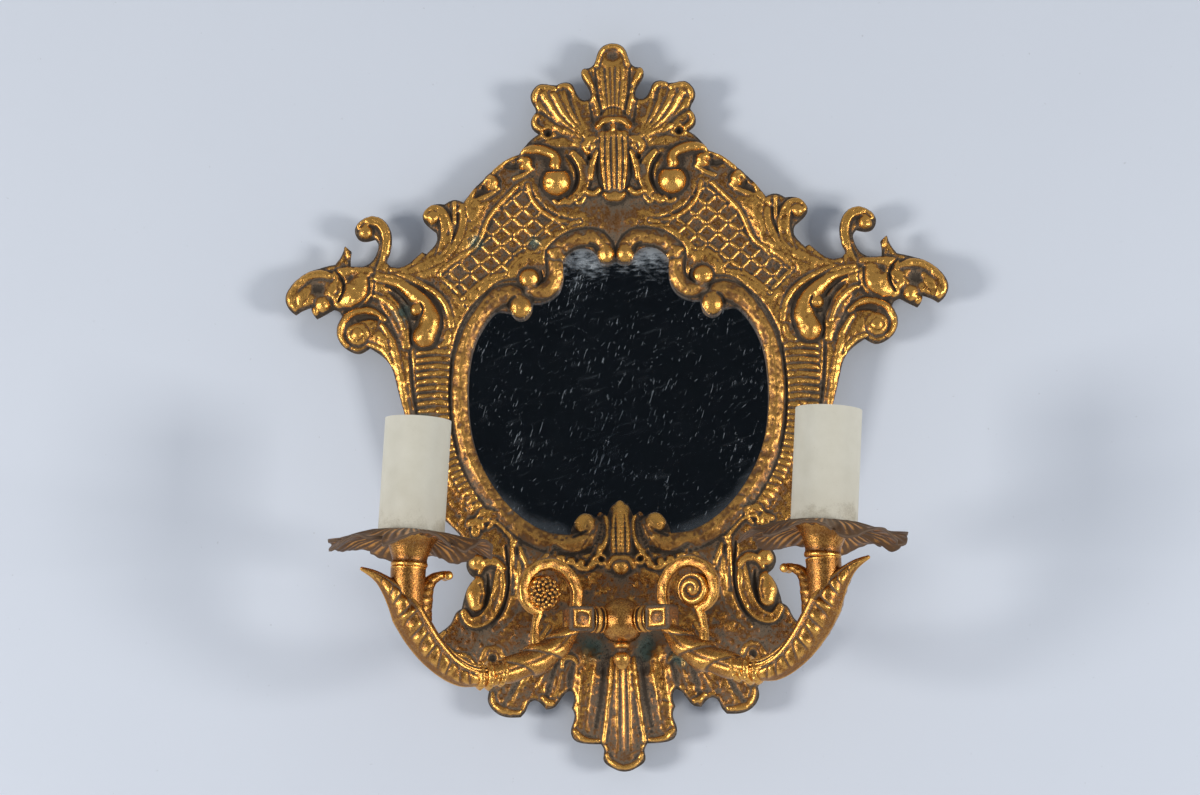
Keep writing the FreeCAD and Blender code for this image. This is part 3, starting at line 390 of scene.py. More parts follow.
def crest_leaves(face):
    """The upright leaf and the ribbed lobe beside it."""
    face.dish(0, 146.6, 4.4, 1.5)
    face.stroke([(0, 151), (3.8, 149.8), (6, 146), (6.8, 142.4)], 0.9, 1.0)
    for x0 in (0, 2.3, 4.7):
        face.add([(x0, 141), (x0 * 0.85, 131), (x0 * 0.5, 120)], [0.4, 0.6, 0.5], 0.4, "ridge")
    for x0 in (1.2, 3.5):
        face.add([(x0, 141), (x0 * 0.8, 131), (x0 * 0.5, 120)], 0.8, -0.35)
    face.stroke([(12.6, 139.6), (11.2, 137), (9.4, 134)], [1.6, 1.9, 1.2], [1.2, 1.8, 1.0])
    face.add([(7.6, 141.5), (7.2, 135), (6.4, 128), (4.6, 118)], [0.7, 1.0, 0.9], -0.9)
    face.stroke([(8.3, 128.5), (6.6, 123), (5.4, 118.5)], 1.0, 1.0, ticks=1.6)
    face.add([(10.4, 127), (9.4, 121), (7.8, 114)], 0.8, -0.8)
    base = (11, 110.5)
    for knee, tip in (((15, 121), (17.6, 131)), ((18, 121.5), (21.6, 132.6)), ((20.5, 120), (26, 131.4)),
                      ((22.5, 118.5), (30, 131)), ((24, 117), (33, 127)), ((24.5, 115.4), (33, 120.6))):
        face.add([base, knee, tip], [0.4, 0.7, 0.5], [0.2, 0.5, 0.3], "ridge")
    for knee, tip in (((16.5, 121), (19.6, 131)), ((19.2, 120.8), (24, 131)), ((21.5, 119), (28, 130.6)),
                      ((23.4, 117.6), (31.6, 128.4))):
        face.add([base, knee, tip], [0.5, 1.0, 1.2], [-0.15, -0.4, -0.5])
    face.stroke([(25.4, 132.2), (30, 133.2), (33.4, 131), (34.2, 127.6)], [0.9, 1.3, 1.3, 0.9], 1.1)
    face.stroke([(17.6, 131.2), (19.6, 133.4), (22.8, 133.4)], 1.1, 1.1)
    face.stroke([(34, 120.4), (34, 117), (31.6, 114.8)], 1.2, 1.2)
    face.add([(33.6, 123), (28, 120), (22, 114)], [1.2, 1.3, 0.8], -0.9)
    face.stroke([(15, 110), (20, 112.4), (24.8, 115.4)], 1.2, 0.9, ticks=1.7)
    face.dish(28.4, 113.2, 2.2, 3.0)
    face.add([(28.4, 116), (31.2, 113.2), (28.4, 110.4), (25.6, 113.2)], 0.9, 0.5, "ridge")
    face.stroke([(12, 106.8), (20, 108.8), (30, 107.4), (38, 105.4)], [1.4, 2.2, 2.0, 1.0], 1.0)


def husk(face):
    """The reeded husk below the leaves, with its hooks and its foot."""
    face.stroke([(0, 116.5), (0, 110), (0, 101), (0, 92), (0, 86.5)],
                [6.4, 6.9, 7.3, 6.6, 4.6], [3.4, 4.2, 4.6, 4.2, 3.0], crease=0.7)
    for x0 in (0, 2.5, 4.9):
        face.add([(x0, 112), (x0 * 1.08, 101), (x0 * 0.85, 88)], [0.9, 1.2, 0.9], [0.3, 0.85, 0.5], "ridge")
    for x0 in (1.25, 3.7, 6.1):
        face.add([(x0, 110), (x0 * 1.08, 101), (x0 * 0.85, 88)], 0.8, -0.6)
    face.stroke([(0, 117.8), (3.4, 117.4), (6.4, 115)], [1.1, 1.2, 0.9], 1.1, lift=2.7)
    face.dish(3.1, 114.4, 2.3, 1.5)
    face.add([(0, 117), (0, 113.4)], 1.0, 0.9, "ridge")
    for hook in ([(7.6, 110), (10.4, 109), (12.4, 106.6), (11.4, 104)],
                 [(7.4, 104), (9.6, 98), (10, 92.6)]):
        face.stroke(hook, [1.0, 1.5, 1.5, 0.9], 1.8, lift=0.8)
    face.dish(10.4, 102, 1.5, 2.4)
    face.dish(11.2, 90.4, 1.6, 2.6)
    face.stroke([(6.6, 87.6), (8.8, 86), (12.4, 87)], 1.2, 1.6, lift=0.6)
    face.stroke([(0, 84.6), (2.4, 84.4), (4.2, 85.6)], [2.2, 1.8, 0.9], 2.2, lift=1.0)


def crest_volutes(face):
    """The band that rolls round a ball beside the husk."""
    face.stroke([(17.6, 104), (13.6, 98), (13.4, 90.6), (17, 85.4), (22.6, 83)],
                [1.2, 2.2, 2.6, 2.4, 1.4], 1.4, "band")
    face.add([(20.4, 103), (16.6, 97.6), (16.4, 91), (19, 86.6), (24, 84)],
             [1.0, 1.6, 1.7, 1.5, 0.9], -1.5)
    face.ball(25, 91.4, 6.3, 6.2, lift=0.3)
    rubbed = face.window((16, 82), (33, 100))
    face.brown[rubbed] = 0.35
    face.stroke([(39.4, 105), (34, 105.8), (29, 104.6), (25.4, 101.6), (25.6, 98.6)],
                [1.4, 2.0, 2.2, 2.2, 2.6], [1.4, 2.2, 2.8, 3.2, 3.4], lift=1.2)
    face.add([(21.8, 96.4), (24.6, 95.8), (28, 96.4)], 0.8, -1.8)
    for i in range(3):
        face.stroke([(13 + 4.4 * i, 84.6), (15.2 + 4.4 * i, 82.2), (17.4 + 4.4 * i, 83.6)], 0.8, 0.9)


def shoulder_curls(face):
    """Two curled leaves on the slope of the shoulder."""
    for (x, z), tail, cheek in (((38.6, 100), (43.5, 98.6), (48.5, 100)),
                                ((53.4, 91.6), (57.5, 88), (62, 85.6))):
        face.ball(x, z, 3.4, 3.6)
        face.add([(x + 1.6, z), tail, cheek], [1.6, 2.2, 1.2], -1.5)
        face.stroke([(x + 1, z + 3.6), (x + 5, z + 3), cheek, (cheek[0] + 6, cheek[1] - 6)],
                    [0.9, 1.2, 1.3, 0.8], [1.2, 1.8, 1.8, 1.0])
        face.stroke([(x - 3, z - 2.4), (x + 0.6, z - 5), (x + 4.6, z - 6.6)], 1.0, 1.3)


def wing(face):
    """All that stands beside the lattice."""
    wing_leaves(face)
    tear_drop(face)
    wing_head(face)


def wing_leaves(face):
    """The leaves that rise from the shoulder and the two curls above the wing."""
    face.stroke([(66.4, 82), (66, 75), (67.8, 68.6), (72, 62.6), (79, 57.6), (88, 54)],
                [1.0, 1.8, 2.0, 2.0, 1.6, 1.0], [1.4, 2.2, 2.4, 2.2, 1.6, 0.8])
    face.stroke([(69.4, 83), (69.4, 75.6), (71, 69)], [0.9, 1.1, 0.9], 1.6)
    face.add([(68, 80), (67.8, 74), (70.6, 67), (76, 61)], 0.7, -0.9)
    face.stroke([(76, 60.6), (73, 67), (73.2, 75), (76.3, 80), (80, 80.4), (81.2, 77.6)],
                [1.4, 2.5, 2.7, 2.4, 2.0, 1.6], [1.6, 2.6, 2.8, 2.6, 2.2, 1.8], "band")
    face.ball(78.8, 76.8, 2.6, 3.0)
    face.stroke([(83.6, 60.8), (89, 57.2), (96.4, 55)], 1.2, 1.2, ticks=1.6)
    face.stroke([(101, 54), (99, 63), (99, 70.5), (101.6, 75), (106, 76.2), (110, 73.8)],
                [2.8, 1.9, 1.9, 2.0, 2.0, 1.6], [1.4, 2.0, 2.2, 2.4, 2.4, 2.0], "band")
    face.ball(107.8, 71.4, 3.0, 3.0)
    for i in range(3):
        face.add([(108 + i, 75.6 - 1.7 * i), (111 + 0.3 * i, 73 - 1.6 * i)], 0.5, -0.6)
    face.stroke([(112.6, 57.6), (114.6, 61), (116.4, 64.4)], [1.5, 1.2, 0.8], [1.4, 1.4, 0.9])


def tear_drop(face):
    """The long drop at the root of the wing and the lines that run round it."""
    face.stroke([(102, 46), (98, 40), (93, 31), (90.6, 22)], [2.2, 3.4, 3.2, 1.8], 1.0)
    face.stroke([(108, 44.6), (101, 42.4), (95.4, 37.4), (91.8, 29.6)],
                [0.8, 1.1, 1.1, 0.8], [1.4, 1.8, 1.8, 1.4])
    face.stroke([(104, 53.2), (95, 51.6), (85, 48.8), (77, 43.6), (72.6, 37), (71, 30)],
                [0.8, 1.3, 1.4, 1.4, 1.4, 0.9], [1.2, 1.8, 2.0, 2.0, 1.8, 1.2])
    face.add([(100, 51.6), (90, 48.6), (81.6, 42.4), (77.4, 35), (76.4, 27)],
             [0.8, 1.2, 1.3, 1.2, 0.8], -1.2)
    face.stroke([(104.6, 51.6), (95.6, 49.6), (88.4, 44.8), (82.4, 38.4), (80.4, 31.4), (82.6, 25.8)],
                [1.0, 2.0, 2.9, 3.8, 4.8, 5.4], [1.6, 2.4, 3.2, 4.2, 5.2, 6.0], crease=0.6)
    face.add([(103, 53), (95, 51.2), (87, 47), (80, 41)], 0.6, 0.6, "ridge")
    face.add([(99, 48), (93.6, 45.4), (89.6, 40.4)], [1.0, 1.4, 1.2], -1.4)
    face.ball(86.2, 37.2, 2.7, 3.4, lift=0.6)
    face.add([(84, 39.4), (83.2, 36.4), (85, 33.8), (88, 34)], 0.7, -1.4)
    face.stroke([(72.6, 26.8), (73.2, 23.6), (76, 21.4)], [1.2, 1.5, 1.0], 1.8)


def wing_head(face):
    """The rolled head at the wing's tip, with its shell and two seeds."""
    face.stroke([(109.6, 49.4), (110.6, 46), (114.6, 43.2), (119, 41.6)],
                [5.0, 6.0, 5.4, 3.0], [3.8, 5.0, 4.4, 2.6], crease=0.6)
    face.stroke([(106, 54), (113, 54.4), (120, 53.4)], [1.8, 2.6, 2.2], [1.6, 2.6, 2.2])
    face.add([(106.6, 51.4), (106.4, 46), (108.6, 41.6), (113, 38.8)], 0.8, -1.2)
    face.add([(121, 55), (117.8, 50.6), (117.4, 46), (119.6, 41.4)], [0.7, 1.0, 1.0, 0.8], -1.8)
    face.stroke([(120.4, 50.4), (122.2, 46.6), (121.4, 43)], 1.5, 2.4)
    face.stroke([(121, 51.6), (127, 53.4), (133, 52.4), (138, 48), (140, 42.5), (138.6, 39)],
                [1.4, 1.9, 2.2, 2.3, 2.0, 1.4], [1.8, 2.6, 2.8, 2.6, 2.2, 1.6])
    face.dish(128.4, 46.8, 4.6, 2.6)
    face.stroke([(132, 47.6), (135, 44.4), (138, 40)], [1.4, 2.2, 1.6], [1.0, 1.6, 1.2], ticks=1.3)
    face.ball(126.4, 40.2, 3.3, 3.8)
    face.ball(129.6, 37.4, 1.8, 2.2)


def side_volute(face):
    """The neck's bands and the volute under the wing."""
    face.stroke([(101, 31), (96.6, 24), (94.6, 15), (92.6, 6), (90.6, -6), (87.6, -18), (84.4, -30),
                 (81, -40)],
                [1.0, 1.5, 1.5, 1.4, 1.3, 1.2, 1.0, 0.9], [2.0, 2.4, 2.4, 2.2, 2.0, 1.8, 1.4, 1.2])
    face.stroke([(100, 33.4), (106, 37.2), (113, 36.6), (118, 31.6), (118.6, 26), (116.4, 22.4)],
                [1.2, 1.6, 1.8, 1.8, 1.6, 1.2], [1.8, 2.6, 3.0, 3.0, 2.6, 2.0])
    face.stroke([(106.2, 22.4), (101.4, 20.4), (97.4, 14), (95, 5), (92.4, -6), (89.6, -18)],
                [0.9, 1.2, 1.2, 1.0], 1.8, ticks=2.2)
    face.ball(111.4, 27.2, 4.7, 3.4)
    face.add([(108.6, 27.2), (111.4, 29.8), (114.1, 27.2), (111.4, 24.5), (108.9, 26.4)], 0.6, -0.7)
    face.add([(103, 34), (107.5, 34.4), (111, 33.6)], 1.4, -1.4)
    face.add([(89.4, 24), (88.6, 12), (87.4, 0), (84.6, -14), (81, -28)], 1.2, -1.1)


def flutes(face):
    """Ribs across the band between neck and glass, and the short ones that follow the glass."""
    for rib in range(9):
        z = 18.8 - 3.12 * rib
        x = 72.6 if z > -4 else 72.6 + (z + 4) * 0.12
        face.stroke([(x, z), (x + 6.5, z + 0.3), (x + 12.6 - 0.03 * abs(z) * (z < 0), z - 0.2)],
                    [1.0, 1.25, 1.0], [0.9, 1.5, 1.1])
    rim = smooth(RIM[0][0], 0.5)
    beside = np.gradient(rim, axis=0)
    beside = np.stack([-beside[:, 1], beside[:, 0]], 1) / np.linalg.norm(beside, axis=1)[:, None]
    last = -99.0
    for point, out in zip(rim[::-1], -beside[::-1]):
        if -52 < point[1] < -6 and abs(point[1] - last) > 2.2:
            face.stroke([point + out * 5.2, point + out * 7.4, point + out * 9.4], [0.7, 0.95, 0.6], 1.2)
            last = point[1]


# each scroll's line, half its width and its height
RIM = [
    ([(12, -56.5), (14.2, -61), (22, -63.4), (33, -61.8), (46.5, -52.6), (57.5, -39.2), (64.6, -24),
      (67.4, -8), (67.3, 9), (64.4, 24.5), (58.8, 35), (51.5, 41.6), (45, 43.2), (40.5, 40.4)],
     3.3, 3.2),
    ([(36.5, 45.6), (31.5, 44.4), (27, 47.6), (25.5, 53), (26.2, 59)], 2.8, 2.9),
    ([(25.6, 61), (20.5, 65.2), (13.5, 67.2), (7.5, 66.4), (4.4, 62.4)], 2.7, 2.7),
]


def rim(face):
    """The moulding round the glass, in three scrolls with rolled ends."""
    for points, radius, height in RIM:
        face.stroke(points, radius + 0.6, height * 0.8, lift=0.2, crease=0.8, brown=1.05)
        face.stroke(points, radius * 0.4, height * 0.3, "swell", lift=1.5, crease=0.0)
    face.add([(43, 49.5), (50, 48.6), (57, 42), (63, 34), (68, 24), (71.2, 10), (71.4, -8),
              (68.6, -24)], 1.0, -0.8)
    for x, z, radius in ((15, -55.3, 4.3), (41.2, 37.6, 4.6), (37.4, 49.8, 4.3), (4.1, 59.8, 3.7)):
        face.ball(x, z, radius, radius * 0.8, lift=0.5)
    for notch in ([(14.6, -58.6), (17.4, -59.8), (20, -60.8)], [(43.6, 41.8), (45.6, 40.2), (46, 38)],
                  [(33.6, 47), (32, 49.4), (32.4, 52.6)], [(7.4, 61.8), (9, 63.6), (11, 64.4)]):
        face.add(notch, 0.8, -1.3)
    face.stroke([(23, 58.6), (25.4, 60.6), (28.2, 61)], [1.4, 2.0, 1.4], 2.2, lift=0.4)


def lower_centre(face):
    """The husk, leaves and eyelets under the glass."""
    face.stroke([(0, -47.5), (0, -56), (0, -64), (0, -70)],
                [2.0, 4.4, 5.2, 4.4], [3.4, 4.4, 4.6, 3.6], crease=0.8)
    for x0 in (0.9, 2.9):
        face.stroke([(x0 * 0.5, -50), (x0, -58), (x0 * 0.9, -67)], 0.9, 0.9, beads=1.9, lift=4.1 - 0.4 * x0)
    face.add([(1.9, -52), (2, -60), (1.8, -68)], 0.5, -0.9)
    face.ball(0, -73, 3.9, 4.4, lift=0.4)
    face.stroke([(0, -70), (3.4, -70.6), (5, -72.4)], [1.1, 1.1, 0.7], 1.0, lift=3.0)
    face.stroke([(6, -52.4), (5.4, -57.6), (7.4, -65), (12, -71)], [1.0, 1.5, 1.6, 1.1], 2.6)
    for i in range(4):
        face.stroke([(7 + i, -53 - i), (7.8 + 1.2 * i, -60), (10.4 + 1.6 * i, -67 + 0.5 * i)], 0.7,
                    [1.0, 1.5, 1.1], beads=1.7 if i % 2 else 0.0)
    face.ball(8.2, -70.4, 2.8, 2.6)
    face.dish(8.2, -70.4, 1.7, 3.2)
    face.stroke([(11, -72), (14, -73.8), (17, -73.6), (20, -71.8), (24, -71.2), (28, -67.4)],
                [1.1, 1.3, 1.3, 1.2, 1.2, 0.9], [2.0, 2.4, 2.4, 2.2, 2.0, 1.4])
    for i in range(4):
        face.ball(12.6 + 4.2 * i, -72.8 + 1.1 * i, 1.7, 2.2)
    face.add([(13, -66), (20, -68.4), (28, -64.8)], 1.8, -1.0)
    face.stroke([(44.6, -62), (41, -70), (39, -74), (34, -78)], [0.9, 1.3, 1.2, 0.9], 1.9)
    face.stroke([(30, -66), (35, -72), (39, -74.6)], [0.7, 1.0, 0.8], 1.3)
    face.add([(43.6, -63), (45, -72), (46, -84)], [1.6, 2.2, 1.6], -1.4)
    for x, z, radius in ((50, -46.4, 2.2), (56, -49.6, 2.3), (61.4, -53.6, 2.2)):
        face.stroke([(x - 2.4, z - 2), (x, z), (x + 2.6, z - 0.6)], radius * 0.7, 2.2)


def lower_volute(face):
    """The large volute beside the arms and the plain apron under it."""
    face.stroke([(44, -63), (48.6, -55), (55.4, -51.4), (60.6, -54), (61.6, -58)],
                [1.4, 2.6, 2.8, 2.4, 1.8], [1.4, 2.6, 3.0, 2.6, 2.0], "band")
    face.stroke([(45.6, -62), (44.6, -72), (44.8, -82), (48, -92), (54, -99)], [1.4, 2.6, 2.9, 2.4, 1.2],
                [1.4, 2.2, 2.4, 1.8, 0.8])
    face.add([(48.8, -64), (48, -73), (48.4, -83), (51.6, -92)], [0.8, 1.2, 1.2, 0.9], -1.6)
    face.add([(46.2, -63), (45.2, -73), (45.6, -83), (49, -92)], 0.5, 0.6, "ridge")
    face.stroke([(51.4, -72), (51.8, -82), (54.4, -90), (59, -95), (64, -95.6), (66.8, -91.6)],
                [1.4, 2.9, 3.2, 3.0, 2.4, 1.4], [1.6, 3.0, 3.4, 3.2, 2.6, 1.6], "band")
    face.stroke([(50.4, -76), (50.8, -84), (53, -91)], 0.55, 0.6, beads=1.5, lift=1.2)
    face.add([(56.6, -76), (56.4, -84), (58.6, -89.6), (63, -91)], [0.8, 1.1, 1.1, 0.8], -1.5)
    face.stroke([(61.6, -88), (61.9, -84), (61.6, -79.6)], [3.4, 4.4, 3.4], [3.0, 4.2, 3.0], lift=0.4)
    face.add([(60, -88), (59, -84), (60, -80)], 0.6, -0.8)
    face.ball(61.0, -70.8, 3.6, 4.0)
    face.stroke([(50, -73.4), (53.4, -70.6), (57.4, -71), (60, -75)], [1.4, 2.0, 1.8, 1.0], 2.4)
    for ripple in ([(31, -98), (34.6, -103.6), (38.4, -108.4)],
                   [(35.4, -103.6), (38.6, -107.4), (41.6, -110.6)],
                   [(26, -100), (29, -106), (33, -111)]):
        face.stroke(ripple, [0.6, 0.9, 0.6], 0.8)
    face.stroke([(50.4, -110.4), (52, -107.6), (55, -106.4), (58, -107.6), (59.4, -110.4)], 1.0, 1.5)
    face.dish(55, -110.8, 2.4, 2.4)
    face.stroke([(62, -114), (66, -109.6), (71, -108.6), (74, -106)], [0.7, 0.9, 0.7], 0.7)
    face.stroke([(75.4, -99.8), (77.2, -102.6), (76, -106.2)], 0.9, 0.9)


def bottom_leaves(face):
    """The broad leaf under the hub and the two lobes on each side."""
    face.add([(9, -118), (12, -130), (14, -142)], [4, 6, 5], -0.9)
    for x0 in (0, 2.2):
        face.add([(x0, -112), (x0 * 1.3, -134), (x0 * 1.3, -150)],
                 [0.5, 0.7, 0.5], [0.3, 0.55, 0.3], "ridge")
    face.add([(1.2, -114), (1.6, -134), (1.6, -150)], [0.6, 0.8, 0.6], -0.4)
    face.stroke([(4.6, -112), (5.6, -124), (7.2, -136), (8.6, -146)],
                [0.8, 1.0, 1.1, 0.8], [0.9, 1.4, 1.4, 0.8])
    face.add([(7.8, -116), (9.6, -128), (11.6, -140)], [1.2, 2.2, 1.4], -0.8)
    for ripple in ([(11.6, -114), (14, -127), (16, -141)], [(17.4, -116), (18.4, -127), (19.4, -136)]):
        face.add(ripple, [0.6, 0.9, 0.7], [0.3, 0.5, 0.3], "ridge")
    for ripple in ([(24, -113), (26.6, -120), (28.6, -127)], [(31, -114), (36, -122), (38.6, -127)],
                   [(35, -110), (43, -121), (47, -130)], [(41, -110), (49, -119), (53, -127)]):
        face.add(ripple, [0.6, 0.9, 0.7], [0.3, 0.5, 0.3], "ridge")
    for flute in ([(38, -112), (45, -122), (50, -130)], [(20.6, -114), (22.4, -120), (22.6, -124)],
                  [(28, -114), (31, -122), (32.5, -128)]):
        face.add(flute, [1.2, 2.4, 1.8], -0.8)
    face.stroke([(11, -145.8), (16.5, -145), (20.6, -141.6)], [0.9, 1.2, 0.9], 0.9)
    face.stroke([(0, -156.8), (4, -155.8), (7.4, -151.6)], [1.2, 1.3, 0.8], 1.0)
    face.stroke([(44, -133.4), (49.6, -132.8), (54.2, -129.4), (55, -125.6)], [0.8, 1.1, 1.1, 0.8], 0.9)
    face.stroke([(30, -129.8), (31.6, -129.4), (34, -127.4)], [1.1, 1.3, 0.9], 1.3)
    face.stroke([(19.6, -113), (21.6, -111), (25, -112), (25.6, -115)], [0.8, 1.2, 1.2, 0.8], 1.2)


def carved_heights():
    """All carving of the right half, with the edge rounded and its lip rolled, and the points
    of its outline and of its opening."""
    face = Relief()
    broad_forms(face)
    lattice(face)
    lower_volute(face)
    bottom_leaves(face)
    side_volute(face)
    flutes(face)
    wing(face)
    crest(face)
    rim(face)
    lower_centre(face)
    outline = half_round(FACE_OUTLINE, 0.5)
    opening = half_round(OPENING_OUTLINE, 0.5)
    _, square = nearest(outline, face.X.ravel(), face.Z.ravel())
    edge = np.sqrt(square).reshape(face.X.shape)
    leafy = np.maximum(fade(face.Z, 108, 118), 0.4 * fade(-face.Z, 112, 122))
    leafy = np.maximum(leafy, 0.5 * fade(face.X, 96, 108))
    face.H += 0.45 * leafy * np.exp(-((edge - 1.3) / 0.8) ** 2)
    face.H -= 1.0 * np.clip(1 - edge / 1.3, 0, 1) ** 2
    face.H = np.maximum(soft(face.H, 0.55), DEEPEST)
    return face, np.concatenate([outline, opening])


def grain(shape, seed):
    """Uneven cast skin: pits, lumps and tool marks."""
    rng = np.random.default_rng(seed)
    noise = np.zeros(shape)
    for sigma, strength in ((9, 0.12), (3.2, 0.11), (1.3, 0.075)):
        layer = soft(rng.standard_normal(shape), sigma)
        noise += strength * layer / layer.std()
    pits = soft(rng.standard_normal(shape), 0.9)
    return noise - 0.2 * np.clip(pits / pits.std() - 1.4, 0, 2)


# places (x, z, size) where the gilding is rubbed through, and where it has gone green. The big brown places
# on the apron round the hub and under the arms also darken it, through the dust that follows them, partly
# as painted shade.
BROWN_SPOTS = [
    (56, -104, 21), (44, -88, 14), (10, -104, 20), (86, -5, 12), (92, 34, 9), (34, -70, 13),
    (70, 14, 5), (12, 96, 7), (44, 96, 6), (50, -126, 16), (10, -134, 19), (0, -150, 14),
    (26, -118, 14), (58, -84, 13), (0, -70, 12), (0, 76, 16), (128, 46, 7), (82, 24, 8),
]
GREEN_SPOTS = {"left": [(92, 36, 7), (12, -108, 9), (60, 66, 5), (84, -12, 8), (35, 66, 5)],
               "right": [(10, -108, 8), (14, -96, 7), (24, -112, 6)]}


def spots(x, z, places):
    """How strongly the soft round spots cover each point, 0 to 1."""
    reach = np.zeros_like(x)
    for cx, cz, size in places:
        reach = np.maximum(reach, np.exp(-((x - cx) ** 2 + (z - cz) ** 2) / (2 * (0.6 * size) ** 2)))
    return reach


def on_face(x, z, depth):
    """Frame millimetres of drawn points at a depth from the wall."""
    return np.stack(np.broadcast_arrays(x, -np.asarray(depth, float), z * FACE_STRETCH - GLASS_DROP), -1)


def kept_cells(face):
    """Quads of the grid between the outline and the opening."""
    closed = full_round(FACE_OUTLINE, 1.0)
    window = full_round(OPENING_OUTLINE, 1.0)
    x_mid = face.X + CELL / 2
    z_mid = face.Z + CELL / 2
    keep = inside(closed, x_mid, z_mid) & ~inside(window, x_mid, z_mid)
    rows, cols = np.nonzero(keep[:-1, :-1])
    wide = face.X.shape[1]
    corner = rows * wide + cols
    return np.stack([corner, corner + 1, corner + wide + 1, corner + wide], 1)


def open_edges(quads, points):
    """The edges that only one quad has, from its first end to its last."""
    edges = np.concatenate([quads[:, [0, 1]], quads[:, [1, 2]], quads[:, [2, 3]], quads[:, [3, 0]]])
    code = np.sort(edges, axis=1) @ np.array([points, 1])
    _, first, count = np.unique(code, return_index=True, return_counts=True)
    return edges[first[count == 1]]


def patina_and_shade_guide(height):
    """How far the carving lies below what is round it, near and further off: the guide for the patina, and
    for the painted shade in the hollows and the painted highlight on the crests.
    """
    broad = soft(height, 2.4 / CELL) - height
    fine = soft(height, 0.8 / CELL) - height
    return np.clip(0.75 * broad + 1.6 * fine, -1.5, 1.5).ravel()


def face_half(face, border, side):
    """The carved front of one half, with walls down to the back of the plate."""
    quads = kept_cells(face)
    calm = fade(face.X, 0.6, 4.0)
    height = face.H + calm * grain(face.X.shape, 11 if side == "left" else 7)
    x = face.X.ravel().copy()
    z = face.Z.ravel().copy()
    edges = open_edges(quads, x.size)
    edges = edges[(x[edges] > 0).any(1)]
    ends = np.unique(edges)
    which, _ = nearest(border, x[ends], z[ends])
    x[ends] = np.where(x[ends] > 0, border[which, 0], 0)
    z[ends] = border[which, 1]
    used = np.unique(quads)
    top = np.full(x.size, -1)
    top[used] = np.arange(len(used))
    low = np.full(x.size, -1)
    low[ends] = len(used) + np.arange(len(ends))
    first_end, last_end = edges.T
    walls = np.stack([top[last_end], top[first_end], low[first_end], low[last_end]], 1)
    verts = np.concatenate([on_face(x[used], z[used], GROUND + height.ravel()[used]),
                            on_face(x[ends], z[ends], PLATE_BACK)])
    faces = np.concatenate([top[quads], walls])
    tone = np.maximum(spots(x, z, BROWN_SPOTS), face.brown.ravel())
    green = spots(x, z, GREEN_SPOTS[side])
    marks = {"hollow": np.concatenate([patina_and_shade_guide(height)[used], np.full(len(ends), 0.1)]),
             "tone": np.concatenate([tone[used], np.full(len(ends), 0.5)]),
             "green": np.concatenate([green[used], np.zeros(len(ends))])}
    if side == "left":
        verts = verts * (-1, 1, 1)
        faces = faces[:, ::-1]
    return verts, faces, marks


# ---------------------------------------------------------------- mesh helpers
def joined(parts):
    """Several (verts, faces) as one."""
    verts, faces, start = [], [], 0
    for v, f in parts:
        verts.append(np.asarray(v, float))
        faces += [tuple(int(i) + start for i in face) for face in f]
        start += len(v)
    return np.concatenate(verts), faces


def placed(part, matrix):
    """A part moved by a 4 x 4 matrix in millimetres."""
    m = np.array(matrix)
    return part[0] @ m[:3, :3].T + m[:3, 3], part[1]


def hollows(mesh):
    """How far each vertex lies below its neighbours, softened, as the guide for the patina, and for the
    painted shade in the hollows and the painted highlight on the crests.
    """
    n = len(mesh.vertices)
    co = np.empty(n * 3, np.float32)
    mesh.vertices.foreach_get("co", co)
    co = co.reshape(-1, 3)
    normal = np.empty(n * 3, np.float32)
    mesh.vertex_normals.foreach_get("vector", normal)
    normal = normal.reshape(-1, 3)
    ends = np.empty(len(mesh.edges) * 2, np.int32)
    mesh.edges.foreach_get("vertices", ends)
    a, b = ends.reshape(-1, 2).T
    count = np.bincount(np.concatenate([a, b]), minlength=n).clip(1)
    gap = co[b] - co[a]
    size = np.linalg.norm(gap, axis=1).clip(1e-6)
    bend = np.bincount(a, (gap * normal[a]).sum(1) / size ** 2, n)
    bend += np.bincount(b, (-gap * normal[b]).sum(1) / size ** 2, n)
    bend = np.clip(bend / count * MM, -1.5, 1.5)
    for _ in range(3):
        near = np.bincount(a, bend[b], n) + np.bincount(b, bend[a], n)
        bend = 0.4 * bend + 0.6 * near / count
    return np.clip(bend * 2.2, -1.5, 1.5)


def put(name, data):
    """A new object in the scene."""
    obj = bpy.data.objects.new(name, data)
    bpy.context.scene.collection.objects.link(obj)
    return obj


def make(name, part, material, replaces=(), marks=None, rounded=True):
    """One named piece of the dressed model. All of them ride on the fixed body. The marks are
    values at the vertices that guide the finish."""
    verts, faces = part
    mesh = bpy.data.meshes.new(name)
    mesh.from_pydata((np.asarray(verts) * MM).tolist(), [], [list(map(int, f)) for f in faces])
    mesh.validate()
    mesh.update()
    mesh.polygons.foreach_set("use_smooth", np.full(len(mesh.polygons), rounded))
    marks = dict(marks or {})
    if "hollow" not in marks:
        marks["hollow"] = hollows(mesh)
    for key, values in marks.items():
        attribute = mesh.attributes.new(key, "FLOAT", "POINT")
        if len(values) == len(mesh.vertices):
            attribute.data.foreach_set("value", np.asarray(values, np.float32))
    mesh.materials.append(material)
    obj = put(name, mesh)
    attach(obj, "root")
    if replaces:
        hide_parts(*replaces)


def grid_faces(rows, cols, wrap=True):
    """Quads of a net with rows x cols points, joined round if wrapped."""
    i, j = np.meshgrid(np.arange(rows - 1), np.arange(cols if wrap else cols - 1), indexing="ij")
    i, j = i.ravel(), j.ravel()
    k = (j + 1) % cols
    return np.stack([i * cols + j, i * cols + k, (i + 1) * cols + k, (i + 1) * cols + j], 1)


